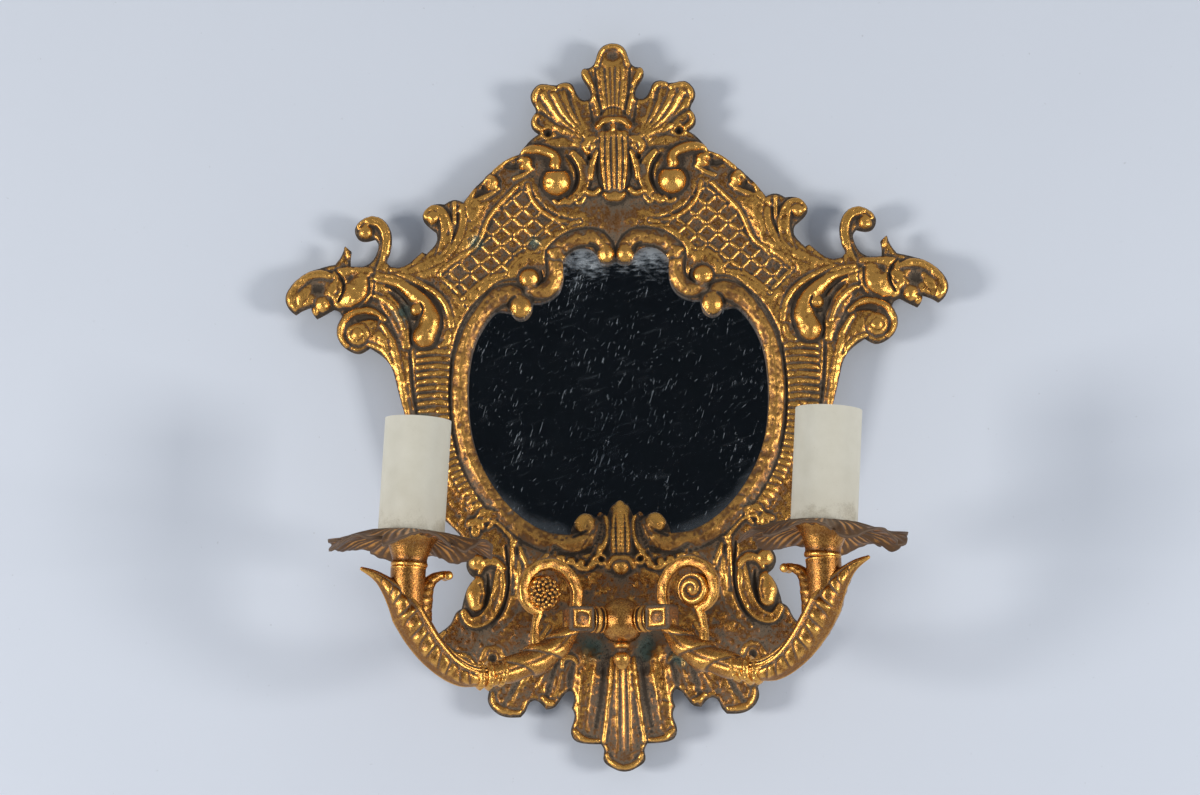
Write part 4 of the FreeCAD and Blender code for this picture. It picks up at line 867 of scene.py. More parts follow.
def turned(profile, around=64, step=0.35, wobble=None):
    """A turned solid about Z from (radius, height) points, closed at both ends."""
    line = smooth(profile, step)
    angle = np.arange(around) / around * 2 * pi
    r = np.maximum(line[:, :1], 0.01)
    if wobble is not None:
        r = r + wobble(angle[None, :], line[:, 1:2])
    else:
        r = np.repeat(r, around, 1)
    verts = np.stack([r * np.cos(angle), r * np.sin(angle), np.repeat(line[:, 1:2], around, 1)], -1)
    n = len(line)
    verts = np.concatenate([verts.reshape(-1, 3), [[0, 0, line[0, 1]], [0, 0, line[-1, 1]]]])
    faces = [tuple(f) for f in grid_faces(n, around)]
    for j in range(around):
        k = (j + 1) % around
        faces.append((k, j, n * around))
        faces.append(((n - 1) * around + j, (n - 1) * around + k, n * around + 1))
    return verts, faces


def sweep(points, radii, carve=None, around=56, step=0.45, flat=1.0, ends=0.8):
    """A bar along a smooth (s, z) line in the arm's frame, with rounded ends.

    The carving gives its surface detail from the angle round the bar, the length and the share of
    its run, and its radius. The angle is 0 on the outer side of the curl, half a turn on its
    inner side."""
    line = smooth(points, step)
    slope = np.gradient(line, axis=0)
    slope /= np.linalg.norm(slope, axis=1)[:, None]
    run = np.concatenate([[0.0], np.cumsum(np.linalg.norm(np.diff(line, axis=0), axis=1))])
    share = run / run[-1]
    angle = (np.arange(around) / around * 2 - 1) * pi
    radius = spread(radii, share)
    cap = np.array([1.0, 0.86, 0.55, 0.2])
    narrow = np.sqrt(np.maximum(1 - cap ** 2, 0.0001))
    foot = cap * radius[0] * ends
    head = (cap * radius[-1] * ends)[::-1]
    centre = np.concatenate([line[0] - slope[0] * foot[:, None], line,
                             line[-1] + slope[-1] * head[:, None]])
    out = np.concatenate([np.repeat(slope[:1], 4, 0), slope, np.repeat(slope[-1:], 4, 0)])
    size = np.concatenate([radius[0] * narrow, radius, radius[-1] * narrow[::-1]])[:, None]
    length = np.concatenate([-foot, run, run[-1] + head])[:, None]
    part = np.concatenate([np.zeros(4), share, np.ones(4)])[:, None]
    r = np.repeat(size, around, 1)
    if carve is not None:
        r = r + carve(angle[None, :], length, part, size) * np.clip(size / np.mean(size), 0, 1)
    side = np.stack([out[:, 1], -out[:, 0]], 1)
    s = centre[:, 0:1] + r * np.cos(angle) * side[:, 0:1]
    z = centre[:, 1:2] + r * np.cos(angle) * side[:, 1:2]
    y = r * np.sin(angle) * flat
    verts = np.stack([s, y, z], -1).reshape(-1, 3)
    n = len(centre)
    faces = [tuple(f) for f in grid_faces(n, around)]
    faces.append(tuple(range(around))[::-1])
    faces.append(tuple((n - 1) * around + j for j in range(around)))
    return verts, faces


def on_arm(side):
    """From an arm's own frame to the real one, in millimetres."""
    return Matrix.Translation(HUB) @ Matrix.Rotation(radians(ARM_TURN[side]), 4, "Z")


def on_candle(side):
    """From a candle's frame, with z up its middle, to the real one."""
    foot = on_arm(side) @ Vector((ARM_REACH, 0, SEAT_RISE))
    return Matrix.Translation(foot) @ Matrix.Rotation(radians(CANDLE_LEAN), 4, "Y")


# ---------------------------------------------------------------- arms
def band_groove(angle, length, share, radius):
    """Two raised edges and a shallow sunk middle along the front and back of a scroll."""
    face_on = np.abs(np.abs(angle) - pi / 2)
    edge = np.exp(-((face_on - 0.75) / 0.2) ** 2)
    sunk = np.exp(-(face_on / 0.5) ** 2)
    return radius * (0.07 * (edge - sunk) + 0.03 * np.cos(length * 1.1 + 2 * angle))


def sheath_leaf(angle, length, share, radius):
    """Leaf folds that lap over one another and sweep back round the sheath."""
    turn = np.abs(angle) / pi
    fold = (length / 12.5 - 0.9 * turn + 0.15 * np.sin(5 * turn)) % 1
    blade = fold ** 1.3 * (1 - fold) ** 0.4 * 2.4
    crease = np.exp(-((turn - 0.5) / 0.05) ** 2)
    return radius * (0.2 * (blade - 0.6) - 0.05 * crease)


def horn_lines(angle, length, share, radius):
    """A smooth horn with long raised lines low on its inner side."""
    turn = np.abs(angle)
    inner = fade(turn, 0.5 * pi, 0.62 * pi) * (1 - fade(share, 0.42, 0.72))
    return inner * 0.42 * np.cos(turn * 15) + 0.10 * np.cos(turn * 5) * (1 - share)


def horn_leaf(angle, length, share, radius):
    """The big outer leaf: a bright edge towards the horn and lobed veins that slant off it."""
    turn = np.abs(angle) / pi
    lip = np.exp(-((turn - 0.66) / 0.06) ** 2) + 0.5 * np.exp(-((turn - 0.78) / 0.04) ** 2)
    lobe = (length / 4.9 - 1.5 * turn + 0.12 * np.sin(length * 0.7)) % 1
    shape = np.sin(pi * lobe ** 0.7) * (0.75 + 0.25 * np.sin(length * 1.1 + 6 * turn))
    veins = shape * fade(0.6 - turn, 0.0, 0.12) * fade(turn, 0.14, 0.3)
    spine = np.exp(-(turn / 0.06) ** 2)
    return np.clip(radius / 5, 0, 1) * (0.9 * lip + 0.85 * veins - 0.5 + 0.4 * spine)


def leaf_veins(angle, length, share, radius):
    """A small flaring leaf: raised edges and faint slanting veins."""
    turn = np.abs(angle) / pi
    edge = np.exp(-((turn - 0.3) / 0.07) ** 2)
    vein = 0.5 + 0.5 * np.cos(2 * pi * (length / 3.4 - 1.2 * turn))
    return 0.35 * edge + 0.14 * vein * (1 - edge)


def knot_beads(angle, height):
    """Fourteen beads round a ring of the arm's knot."""
    return 0.32 * np.cos(14 * angle) * np.exp(-(height / 0.7) ** 2)


def knuckle_block():
    """The square knuckle: rounded edges, and on each side a raised border and a sunk field
    with a low pillow in it."""
    n = 25
    u = np.linspace(-1, 1, n)
    a, b = np.meshgrid(u, u, indexing="ij")
    rng = np.random.default_rng(5)
    parts = []
    edge = 1 - np.maximum(np.abs(a), np.abs(b))
    for axis in range(3):
        for sign in (-1, 1):
            lumps = soft(rng.standard_normal((n, n)), 2.2)
            pillow = fade(1 - np.hypot(a, b), 0.3, 0.75)
            rough = 0.12 * lumps / lumps.std() * fade(edge, 0.2, 0.5)
            sunk = 0.8 * fade(edge, 0.12, 0.42) - 0.55 * pillow - rough
            p = np.zeros((n, n, 3))
            p[..., axis] = sign
            p[..., (axis + 1) % 3] = a if sign > 0 else b
            p[..., (axis + 2) % 3] = b if sign > 0 else a
            unit = p / (np.abs(p) ** 9).sum(-1, keepdims=True) ** (1 / 9)
            half = np.array([KNUCKLE_LENGTH / 2, KNUCKLE_HALF, KNUCKLE_HALF])
            verts = unit * half
            verts[..., axis] -= sign * sunk * (axis != 0)
            verts[..., 0] += KNUCKLE_START + KNUCKLE_LENGTH / 2
            parts.append((verts.reshape(-1, 3), [tuple(f) for f in grid_faces(n, n, wrap=False)]))
    return joined(parts)


def seeds(r, angle, reach):
    """A seeded rosette: round grains in a sunflower's order."""
    best = np.zeros(np.broadcast(r, angle).shape)
    x, y = r * np.cos(angle), r * np.sin(angle)
    count = 42
    for k in range(count):
        at = (reach - 0.9) * sqrt((k + 0.4) / count)
        turn = k * GOLDEN_TURN
        gap = np.hypot(x - at * cos(turn), y - at * sin(turn))
        best = np.maximum(best, np.sqrt(np.clip(1 - (gap / 0.92) ** 2, 0, 1)))
    return 1.6 * best


def coil(r, angle, reach):
    """A rolled end: a ridge that winds in to a small ball."""
    turn = (angle / (2 * pi)) % 1
    pitch = reach / 1.9
    wave = (r / pitch - turn) % 1
    ridge = np.sin(pi * wave) ** 0.7
    core = np.sqrt(np.clip(1 - (r / 2.2) ** 2, 0, 1))
    return np.maximum(1.7 * ridge * fade(reach - r, 0, 1.2), 2.4 * core)


def scroll_eye(pattern, reach=7.5, half=2.2):
    """A disc in the (s, z) plane with the pattern raised on both faces."""
    around, rings = 84, 26
    angle = np.arange(around) / around * 2 * pi
    r = np.linspace(0.02, reach, rings)
    wall = half * np.sqrt(np.clip(1 - (r / reach) ** 6, 0, 1))
    high = wall[:, None] + pattern(r[:, None], angle[None, :], reach) * fade(reach - r, 0.1, 1.0)[:, None]
    parts = []
    for sign in (-1, 1):
        verts = np.stack([r[:, None] * np.cos(angle), sign * high, r[:, None] * np.sin(angle)], -1)
        faces = grid_faces(rings, around)
        faces = faces if sign > 0 else faces[:, ::-1]
        parts.append((verts.reshape(-1, 3) + SCROLL_EYE, [tuple(f) for f in faces]))
    return joined(parts)


def arm_part(side):
    """All of one arm in its own frame."""
    parts = [knuckle_block()]
    parts.append(sweep([(20.5, 4), (19.8, 11), (23.2, 18.5), (30.5, 22.6), (38.5, 20.4), (43, 13.6),
                        (41.6, 6), (36, 2.6)], [2.5, 2.6, 2.6, 2.5, 2.3, 2.0], band_groove))
    parts.append(scroll_eye(seeds if side == "left" else coil))
    parts.append(sweep([(35.5, 5), (38, -3), (38, -12)], [2.0, 1.5, 2.4], band_groove))
    parts.append(sweep([(23, -2), (25.6, -7), (30, -10.4)], [2.2, 1.8, 2.4], band_groove))
    parts.append(sweep([(21, -3.5), (26.5, -9), (34, -14.5), (44, -19), (57, -23.4)],
                       [3.0, 5.4, 6.2, 5.4, 4.6], sheath_leaf, around=112, step=0.35))
    for s, tall in ((52.6, 5.6), (55.4, 4.9), (58.6, 5.9), (62.2, 5.2)):
        ring = turned([(3.0, -1.7), (tall - 1.1, -1.5), (tall, 0), (tall - 1.1, 1.5), (3.0, 1.7)],
                      wobble=knot_beads)
        lean = Matrix.Rotation(radians(-10 if s < 57 else 0), 4, "Y")
        parts.append(placed(ring, Matrix.Translation((s, 0, -22.2 - 0.18 * (s - 52))) @ lean @ TO_X))
    parts.append(sweep([(57, -23.4), (66, -23.2), (74, -19.6), (81.5, -14), (87.4, -7), (91, 1),
                        (92.5, 10), (92.3, 19.9)], [4.2, 4.6, 4.8, 5.2, 5.8, 6.4, 7.0, 7.2],
                       horn_lines, around=120, step=0.34, ends=0.02))
    parts.append(sweep([(60, -24.4), (70, -23), (78.6, -17.6), (86, -9.4), (91.8, -0.4), (96.6, 7.4),
                        (101.4, 12.8), (106.4, 16.6), (112, 19)],
                       [3.0, 5.0, 5.8, 6.6, 7.1, 7.2, 5.2, 2.5, 0.8], horn_leaf,
                       around=128, step=0.34, flat=1.15))
    parts.append(sweep([(86, -9), (87.4, 1), (86, 9), (82.4, 15), (76.4, 17.6)],
                       [2.4, 4.6, 4.4, 2.6, 1.3], leaf_veins, around=64, step=0.3, flat=1.2))
    curl = turned([(0.4, -3.6), (1.5, -3.2), (1.7, 0), (1.5, 3.2), (0.4, 3.6)], around=32)
    parts.append(placed(curl, Matrix.Translation(CURL_LIP) @ TO_FRONT))
    return joined(parts)


def collar_part():
    """Bead and flanges between the ball and the knuckle."""
    end = COLLAR_LENGTH
    return turned([(2.6, 0), (4.5, 0.1), (5.5, 0.55), (4.5, 1.15), (5.2, 1.9), (5.6, end / 2),
                   (5.2, end - 1.9), (4.5, end - 1.15), (5.5, end - 0.55), (4.5, end - 0.1), (2.6, end)],
                  around=72, step=0.15)


def ball_part():
    """The hub's ball, a little dented."""
    angle = np.linspace(0.02, pi - 0.02, 60)
    verts, faces = turned([(HUB_RADIUS * sin(t), HUB_RADIUS * cos(t)) for t in angle], around=96, step=0.4)
    rng = np.random.default_rng(3)
    dents = sum(np.exp(-((verts - HUB_RADIUS * d / np.linalg.norm(d)) ** 2).sum(1) / 2.2)
                for d in rng.standard_normal((40, 3)))
    return verts * (1 - 0.014 * dents)[:, None], [f[::-1] for f in faces]


def boss_part():
    """The casting's boss behind the ball."""
    length = HUB_SEAT - PLATE_BACK - 1
    return turned([(10.5, 0), (8.2, 2.6), (7.1, 6), (6.8, length - 3), (7.2, length - 1), (6.6, length)])


def finial_part():
    """The bud that hangs under the ball."""
    tall = 12.0
    return turned([(0.02, -tall), (1.3, -0.95 * tall), (2.6, -0.82 * tall), (3.6, -0.62 * tall),
                   (3.1, -0.46 * tall), (1.8, -0.34 * tall), (2.0, -0.27 * tall), (3.1, -0.2 * tall),
                   (3.1, -0.1 * tall), (2.2, -0.03 * tall), (2.0, 0)], step=0.15)


def cup_part():
    """The turned cup under the pan."""
    return turned([(5.2, 0), (7.1, 0.1), (7.5, 1.0), (7.2, 2.2), (7.8, 5.4), (9.4, 9.4), (11.2, 11.9),
                   (11.5, 12.4), (5.2, 12.5)], around=96, step=0.25)


def pan_part(side):
    """The drip pan: six uneven petals with fine ribs, their rims curled."""
    around, rings = 420, 64
    rng = np.random.default_rng(21 if side == "left" else 22)
    angle = np.arange(around) / around * 2 * pi
    turn = radians(PAN_TURN[side])
    where = (angle - turn) / (2 * pi) * PETALS
    petal = np.floor(where).astype(int) % PETALS
    within = where % 1
    notch = np.minimum(within, 1 - within)
    tilt = rng.uniform(-1.0, 1.8, PETALS)
    small = sum(rng.uniform(0.1, 0.34) * np.sin(k * angle + rng.uniform(0, 6)) for k in (7, 13, 19, 31))
    reach = PAN_REACH - 5.2 * np.exp(-(notch / 0.06) ** 2) - 1.3 * (1 - np.sin(pi * within) ** 0.6) + small
    share = np.linspace(0, 1, rings)[:, None]
    r = PAN_BORE + (reach[None, :] - PAN_BORE) * share
    out = np.clip((r - PAN_FLAT) / (PAN_REACH - PAN_FLAT), 0, 1)
    bow = np.sin(pi * within) ** 0.8
    z = PAN_TOP - 6.4 * out ** 1.6 + out ** 2 * (tilt[petal] * bow + 2.6 * (bow - 0.75))
    z += 2.4 * fade(out, 0.62, 1.05) * np.sin(pi * within * 2 + petal) + 0.7 * out * np.sin(3 * angle)
    z = np.minimum(z, PAN_TOP)
    fine = np.cos(54 * angle + 1.6 * np.sin(5 * angle)) + 0.5 * np.cos(23 * angle)
    fine = fine * (1 - 0.75 * fade(out, 0.7, 1.0))
    z += 0.36 * fade(out, 0.03, 0.3) * (fine - 1) - 0.7 * out * np.exp(-(notch / 0.05) ** 2)
    thick = PAN_THICK - 0.5 * out
    layers = []
    for drop, scale in ((0, 1.0), (1, 0.996)):
        x, y = r * scale * np.cos(angle), r * scale * np.sin(angle)
        layers.append(np.stack([x, y, z - drop * thick], -1))
    top = grid_faces(rings, around)
    low = top[:, ::-1] + rings * around
    last = (rings - 1) * around
    j = np.arange(around)
    k = (j + 1) % around
    down = rings * around
    edge = np.stack([last + j, last + k, last + k + down, last + j + down], 1)
    bore = np.stack([j + down, k + down, k, j], 1)
    faces = np.concatenate([top, low, edge, bore])
    return np.concatenate([layer.reshape(-1, 3) for layer in layers]), [tuple(f) for f in faces]


# ---------------------------------------------------------------- the casting's back
def back_plate():
    """The flat inside of the casting, pierced for the glass."""
    outer = full_round(FACE_OUTLINE, 0.8)
    inner = full_round(OPENING_OUTLINE, 0.8)
    points = [Vector(p) for p in np.concatenate([outer, inner])]
    n, m = len(outer), len(inner)
    loops = [(i, (i + 1) % n) for i in range(n)] + [(n + i, n + (i + 1) % m) for i in range(m)]
    verts, _, tris, *_ = delaunay_2d_cdt(points, loops, [], 0, 1e-4)
    flat = np.array([v[:] for v in verts])
    mid = np.array([flat[list(t)].mean(0) for t in tris])
    keep = inside(outer, mid[:, 0], mid[:, 1]) & ~inside(inner, mid[:, 0], mid[:, 1])
    faces = [t for t, k in zip(tris, keep) if k]
    at = on_face(flat[:, 0], flat[:, 1], PLATE_BACK)
    a, b, c = (at[i] for i in faces[0][:3])
    if np.cross(b - a, c - a)[1] < 0:
        faces = [t[::-1] for t in faces]
    return at, faces


def skirt():
    """The rear rim that meets the wall, its edges broken."""
    line = smooth(SKIRT_OUTLINE, 1.2)
    line = np.concatenate([line, (line * (-1, 1))[-2:0:-1]])
    step = np.roll(line, -1, axis=0) - np.roll(line, 1, axis=0)
    inward = np.stack([step[:, 1], -step[:, 0]], 1) / np.linalg.norm(step, axis=1)[:, None]
    rings = [(0, PLATE_BACK), (0, 0.7), (0.25, 0.2), (0.8, 0), (SKIRT_WALL - 0.8, 0),
             (SKIRT_WALL - 0.25, 0.2), (SKIRT_WALL, 0.7), (SKIRT_WALL, PLATE_BACK)]
    verts = []
    for shift, depth in rings:
        ring = line + inward * shift
        verts.append(on_face(ring[:, 0], ring[:, 1], depth))
    return np.concatenate(verts), [tuple(f) for f in grid_faces(len(rings), len(line))]


def back_bosses():
    """Pads for the clips and bosses for the hanger's screws, each bored."""
    parts = []
    for x, z in CLIP_PADS:
        for side in (-1, 1):
            pad = turned([(1.6, 4.2), (1.6, 5), (4.2, 5.0), (4.5, 4.7), (4.5, 0)], around=40, step=0.4)
            parts.append(placed(pad, Matrix.Translation(on_face(side * x, z, PLATE_BACK)) @ TO_BACK))
    for side in (-1, 1):
        boss = turned([(1.6, 5.2), (1.6, 6), (3.7, 6.0), (4.0, 5.7), (4.0, 0)], around=40, step=0.4)
        parts.append(placed(boss, Matrix.Translation((side * HANGER_SCREW_X, -PLATE_BACK, 0)) @ TO_BACK))
    return joined(parts)


# ---------------------------------------------------------------- materials
class Value:
    """A shader value. Sums on it add Math nodes."""

    def __init__(self, paint, socket):
        self.paint = paint
        self.socket = socket

    def math(self, operation, a, b=None):
        return self.paint.node("ShaderNodeMath", {"operation": operation}, {0: a, 1: b})

    def __add__(self, other):
        return self.math("ADD", self, other)

    def __sub__(self, other):
        return self.math("SUBTRACT", self, other)

    def __rsub__(self, other):
        return self.math("SUBTRACT", other, self)

    def __mul__(self, other):
        return self.math("MULTIPLY", self, other)

    __radd__ = __add__
    __rmul__ = __mul__

    def clamp(self):
        return self.paint.node("ShaderNodeMath", {"operation": "ADD", "use_clamp": True}, {0: self, 1: 0.0})

    def between(self, low, high):
        """0 below low, 1 above high, smooth in between."""
        return self.paint.node("ShaderNodeMapRange", {"interpolation_type": "SMOOTHSTEP"},
                               {"Value": self, "From Min": low, "From Max": high})


class Paint:
    """One material and the nodes it is mixed from."""

    def __init__(self, name):
        self.material = bpy.data.materials.new(name)
        self.material.use_nodes = True
        self.tree = self.material.node_tree
        self.tree.nodes.clear()
        self.place = self.node("ShaderNodeTexCoord", {}, {}, "Object")

    def node(self, kind, settings, sockets, out=0):
        made = self.tree.nodes.new(kind)
        for key, value in settings.items():
            setattr(made, key, value)
        for key, value in sockets.items():
            if value is None:
                continue
            if isinstance(value, Value):
                self.tree.links.new(value.socket, made.inputs[key])
            else:
                made.inputs[key].default_value = value
        return Value(self, made.outputs[out])

    def mark(self, name):
        return self.node("ShaderNodeAttribute", {"attribute_name": name}, {}, "Fac")

    def scaled(self, place, by):
        return self.node("ShaderNodeVectorMath", {"operation": "MULTIPLY"}, {0: place, 1: by})

    def along(self, axis):
        """The place on one axis, in metres."""
        return self.node("ShaderNodeSeparateXYZ", {}, {0: self.place}, axis)

    def noise(self, size, detail=3.0, rough=0.55, stretch=None):
        """Cloudy noise with lumps of about that many millimetres."""
        place = self.place
        if stretch:
            place = self.scaled(place, stretch)
        return self.node("ShaderNodeTexNoise", {}, {"Vector": place, "Scale": 1 / (size * MM),
                                                    "Detail": detail, "Roughness": rough})

    def mix(self, share, a, b):
        return self.node("ShaderNodeMix", {"data_type": "RGBA"}, {0: share, 6: a, 7: b}, 2)

    def bump(self, height, depth, strength):
        return self.node("ShaderNodeBump", {}, {"Height": height, "Distance": depth * MM,
                                                "Strength": strength})

    def finish(self, colour, rough, metal, normal=None, **constants):
        sockets = {"Base Color": colour, "Roughness": rough, "Metallic": metal, "Normal": normal}
        sockets.update({key.replace("_", " "): value for key, value in constants.items()})
        shader = self.node("ShaderNodeBsdfPrincipled", {}, sockets)
        self.node_out(shader)
        return self.material

    def node_out(self, shader):
        output = self.tree.nodes.new("ShaderNodeOutputMaterial")
        self.tree.links.new(shader.socket, output.inputs["Surface"])


def colour(red, green, blue):
    """A colour given as it looks on a screen, 0 to 255."""
    def light(c):
        c = c / 255
        return c / 12.92 if c <= 0.04045 else ((c + 0.055) / 1.055) ** 2.4
    return (light(red), light(green), light(blue), 1.0)


GOLD = colour(238, 176, 90)
DEEP_GOLD = colour(152, 99, 49)
COPPER_BROWN = colour(108, 79, 54)
DUST = colour(108, 97, 80)
# near-black: dirt in the pits, and painted shade in the creases
PIT_DIRT_AND_CREVICE_SHADE = colour(30, 22, 15)
VERDIGRIS = colour(62, 100, 94)


def gilding(name, brown=0.0, green=True):
    """Worn gilding: bright on the crests and deeper gold in the hollows, copper-brown where thin, grey dust
    in the hollows, dark pits gathered in the creases. The brightness on the crests is partly painted
    highlight, and the darkening in the hollows and creases partly painted shade.
    """
    paint = Paint(name)
    hollow = paint.mark("hollow")
    tone = paint.mark("tone") + brown
    clouds = paint.noise(8, 4)
    specks = paint.noise(0.62, 2, 0.7)
    fine = paint.noise(0.34, 2, 0.6)
    patches = paint.noise(1.9, 3, 0.65)
    # Bright gold on the crests and deeper gold in the hollows, led by the hollow mark: partly rubbed
    # gilding, partly painted highlight on the crests and painted shade in the hollows.
    rub_and_crest_light = (hollow * -1.7 + (clouds - 0.5) * 0.9 - tone * 0.55 + 0.3
            + (specks - 0.5) * 1.5).between(0.0, 0.9)
    shade = paint.mix(rub_and_crest_light, DEEP_GOLD, GOLD)
    thin = (tone * 0.75 + (patches - 0.5) * 0.8 + (specks - 0.5) * 1.0 + (clouds - 0.5) * 0.7
            - rub_and_crest_light * 0.4 + 0.14).between(0.1, 1.1)
    shade = paint.mix(thin * 0.7, shade, COPPER_BROWN)
    # Grey dust in the hollows and on the browned patches: real dust, and partly painted shade in the
    # hollows and on the apron round the hub.
    dust = (hollow * 1.7 + (specks - 0.5) * 2.2 + (patches - 0.5) * 0.6
            + tone * 0.5).between(0.06, 0.85)
    # Near-black pits, heaped in the creases by the hollow mark: real dirty pits, and painted shade in the
    # creases.
    black = (hollow * 1.3 + (fine - 0.5) * 3.2 + (specks - 0.5) * 2.6 - 0.26).between(0.34, 0.6)
    shade = paint.mix(dust * 0.84, shade, DUST)
    if green:
        bloom = (paint.mark("green") + (clouds - 0.5) * 0.9 + (specks - 0.5) * 0.5).between(0.42, 0.95)
        shade = paint.mix(bloom * 0.7, shade, VERDIGRIS)
    shade = paint.mix(black * 0.72, shade, PIT_DIRT_AND_CREVICE_SHADE)
    cover = (dust * 0.85 + black * 0.5 + thin * 0.25).clamp()
    rough = 0.27 + cover * 0.46 + (specks - 0.5) * 0.3
    metal = 1 - cover * 0.8
    normal = paint.bump(specks + fine * 0.6, 0.15, 0.8)
    return paint.finish(shade, rough, metal, normal)


def pan_finish():
    """Dull brown gilding, bright on the ribs and dark and dusty in the hollows: partly rubbing and dust,
    partly painted highlight on the ribs and painted shade in the hollows.
    """
    paint = Paint("dull brown pan brass")
    hollow = paint.mark("hollow")
    clouds = paint.noise(6, 4)
    specks = paint.noise(0.8, 2, 0.7)
    # Ribs bright and hollows dark by the hollow mark: partly rubbed gilding, partly painted highlight on
    # the ribs and painted shade between them.
    rubbed = (hollow * -1.8 + (clouds - 0.5) * 1.6 + (specks - 0.5) * 0.8 + 0.12).between(0.1, 0.8)
    shade = paint.mix(rubbed, colour(116, 84, 56), colour(222, 156, 82))
    # Dust in the hollows: real dust, and partly painted shade.
    dust = (hollow * 1.2 + (clouds - 0.5) + (specks - 0.5) + 0.1).between(0.2, 0.8)
    shade = paint.mix(dust * 0.5, shade, colour(102, 88, 74))
    normal = paint.bump(specks, 0.12, 0.5)
    return paint.finish(shade, 0.42 + dust * 0.25 - rubbed * 0.08, 0.85 - dust * 0.6, normal)


def hairlines(paint, angle, size):
    """Short thin scratches that run one way."""
    turned_place = paint.node("ShaderNodeVectorRotate", {"rotation_type": "Y_AXIS"},
                              {"Vector": paint.place, "Angle": angle})
    drawn = paint.scaled(turned_place, (0.13, 1.0, 1.0))
    return paint.node("ShaderNodeTexNoise", {}, {"Vector": drawn, "Scale": 1 / (size * MM),
                                                 "Detail": 1.0, "Roughness": 0.5})


def mirror_finish():
    """Silvered glass with fine streaky scratches, dust and a worn pale edge."""
    paint = Paint("scratched mirror glass")
    patches = paint.noise(15, 3)
    streaks = paint.noise(1.4, 3, 0.6, (0.35, 1.0, 1.0))
    upright = (hairlines(paint, 1.25, 0.55) + (patches - 0.5) * 0.35).between(0.70, 0.76)
    slanted = (hairlines(paint, 0.7, 0.5) - (patches - 0.5) * 0.3).between(0.72, 0.78)
    sweep_marks = (hairlines(paint, 0.35, 1.6) + (patches - 0.5) * 0.5).between(0.55, 0.9)
    dust = (paint.noise(0.7, 1, 0.5) + (patches - 0.5) * 0.2).between(0.76, 0.8)
    half_wide, half_high, middle, worn_top = 0.0655, 0.0600, -0.0945, -0.046
    across = paint.along("X") * (1 / half_wide)
    high = paint.along("Z")
    upward = (high - middle) * (1 / half_high)
    ring = across * across + upward * upward
    edge = (ring + (patches - 0.5) * 0.3).between(1.0, 1.2)
    top = ((high - worn_top) * 75 + (patches - 0.5) * 1.2 + (streaks - 0.5) * 2.2).between(0.1, 1.1)
    veil = (upright * 0.28 + slanted * 0.22 + dust * 0.4 + sweep_marks * 0.05 + edge * 0.14
            + top * 0.5).clamp()
    shade = paint.mix(veil, colour(196, 206, 214), colour(190, 192, 190))
    return paint.finish(shade, 0.045 + veil * 0.5, 1 - veil * 0.9)


def card_finish():
    """Matt cream card, dusty at its foot."""
    paint = Paint("cream card")
    fibres = paint.noise(0.6, 3, 0.6)
    clouds = paint.noise(9, 4)
    clean_above = -0.154
    foot = ((paint.along("Z") - clean_above) * -90 + (clouds - 0.5) * 2.6
            + (fibres - 0.5)).between(0.1, 1.1)
    shade = paint.mix((clouds - 0.5) * 1.2 + 0.4, colour(222, 217, 200), colour(206, 200, 180))
    shade = paint.mix(foot * 0.55, shade, colour(146, 134, 110))
    shade = paint.mix(fibres.between(0.6, 0.75) * 0.2, shade, colour(178, 170, 148))
    return paint.finish(shade, 0.62 + (fibres - 0.5) * 0.2, 0.0, paint.bump(fibres, 0.06, 0.4))


def board_finish():
    """Raw hardboard: brown fibres in cloudy patches."""
    paint = Paint("raw hardboard")
    fibre = paint.noise(0.7, 4, 0.7, (0.5, 1.0, 1.6))
    clouds = paint.noise(18, 4)
    shade = paint.mix(clouds, colour(112, 82, 56), colour(146, 112, 78))
    shade = paint.mix(fibre.between(0.5, 0.75) * 0.5, shade, colour(78, 56, 38))
    return paint.finish(shade, 0.82 - (fibre - 0.5) * 0.2, 0.0, paint.bump(fibre, 0.12, 0.6))


def zinc_finish(name, bright, dull, metal=0.9):
    """Plain fittings: brushed, dulled and a little stained."""
    paint = Paint(name)
    brushed = paint.noise(0.4, 2, 0.6, (0.2, 1.0, 1.0))
    clouds = paint.noise(5, 4)
    stain = (clouds + (brushed - 0.5) * 0.3).between(0.42, 0.7)
    shade = paint.mix(stain, bright, dull)
    return paint.finish(shade, 0.34 + stain * 0.25 + (brushed - 0.5) * 0.12, metal - stain * 0.25,
                        paint.bump(brushed, 0.03, 0.4))


def holder_finish():
    """Moulded cream insulator, a little glossy."""
    paint = Paint("moulded cream insulator")
    clouds = paint.noise(4, 3)
    marks = paint.noise(0.5, 2)
    shade = paint.mix(clouds, colour(226, 220, 204), colour(208, 200, 180))
    return paint.finish(shade, 0.34 + (marks - 0.5) * 0.15, 0.0, paint.bump(marks, 0.03, 0.3),
                        Coat_Weight=0.2)


def back_finish():
    """The unfinished inside of the casting: dull brass with sand marks and dirt."""
    paint = Paint("sand cast back")
    sand = paint.noise(0.8, 3, 0.7)
    clouds = paint.noise(14, 4)
    shade = paint.mix(clouds, colour(104, 84, 56), colour(146, 116, 68))
    dirt = (sand + (clouds - 0.5) * 0.6).between(0.5, 0.72)
    shade = paint.mix(dirt * 0.7, shade, colour(58, 48, 38))
    return paint.finish(shade, 0.52 + dirt * 0.2, 0.8 - dirt * 0.45, paint.bump(sand, 0.35, 0.8))


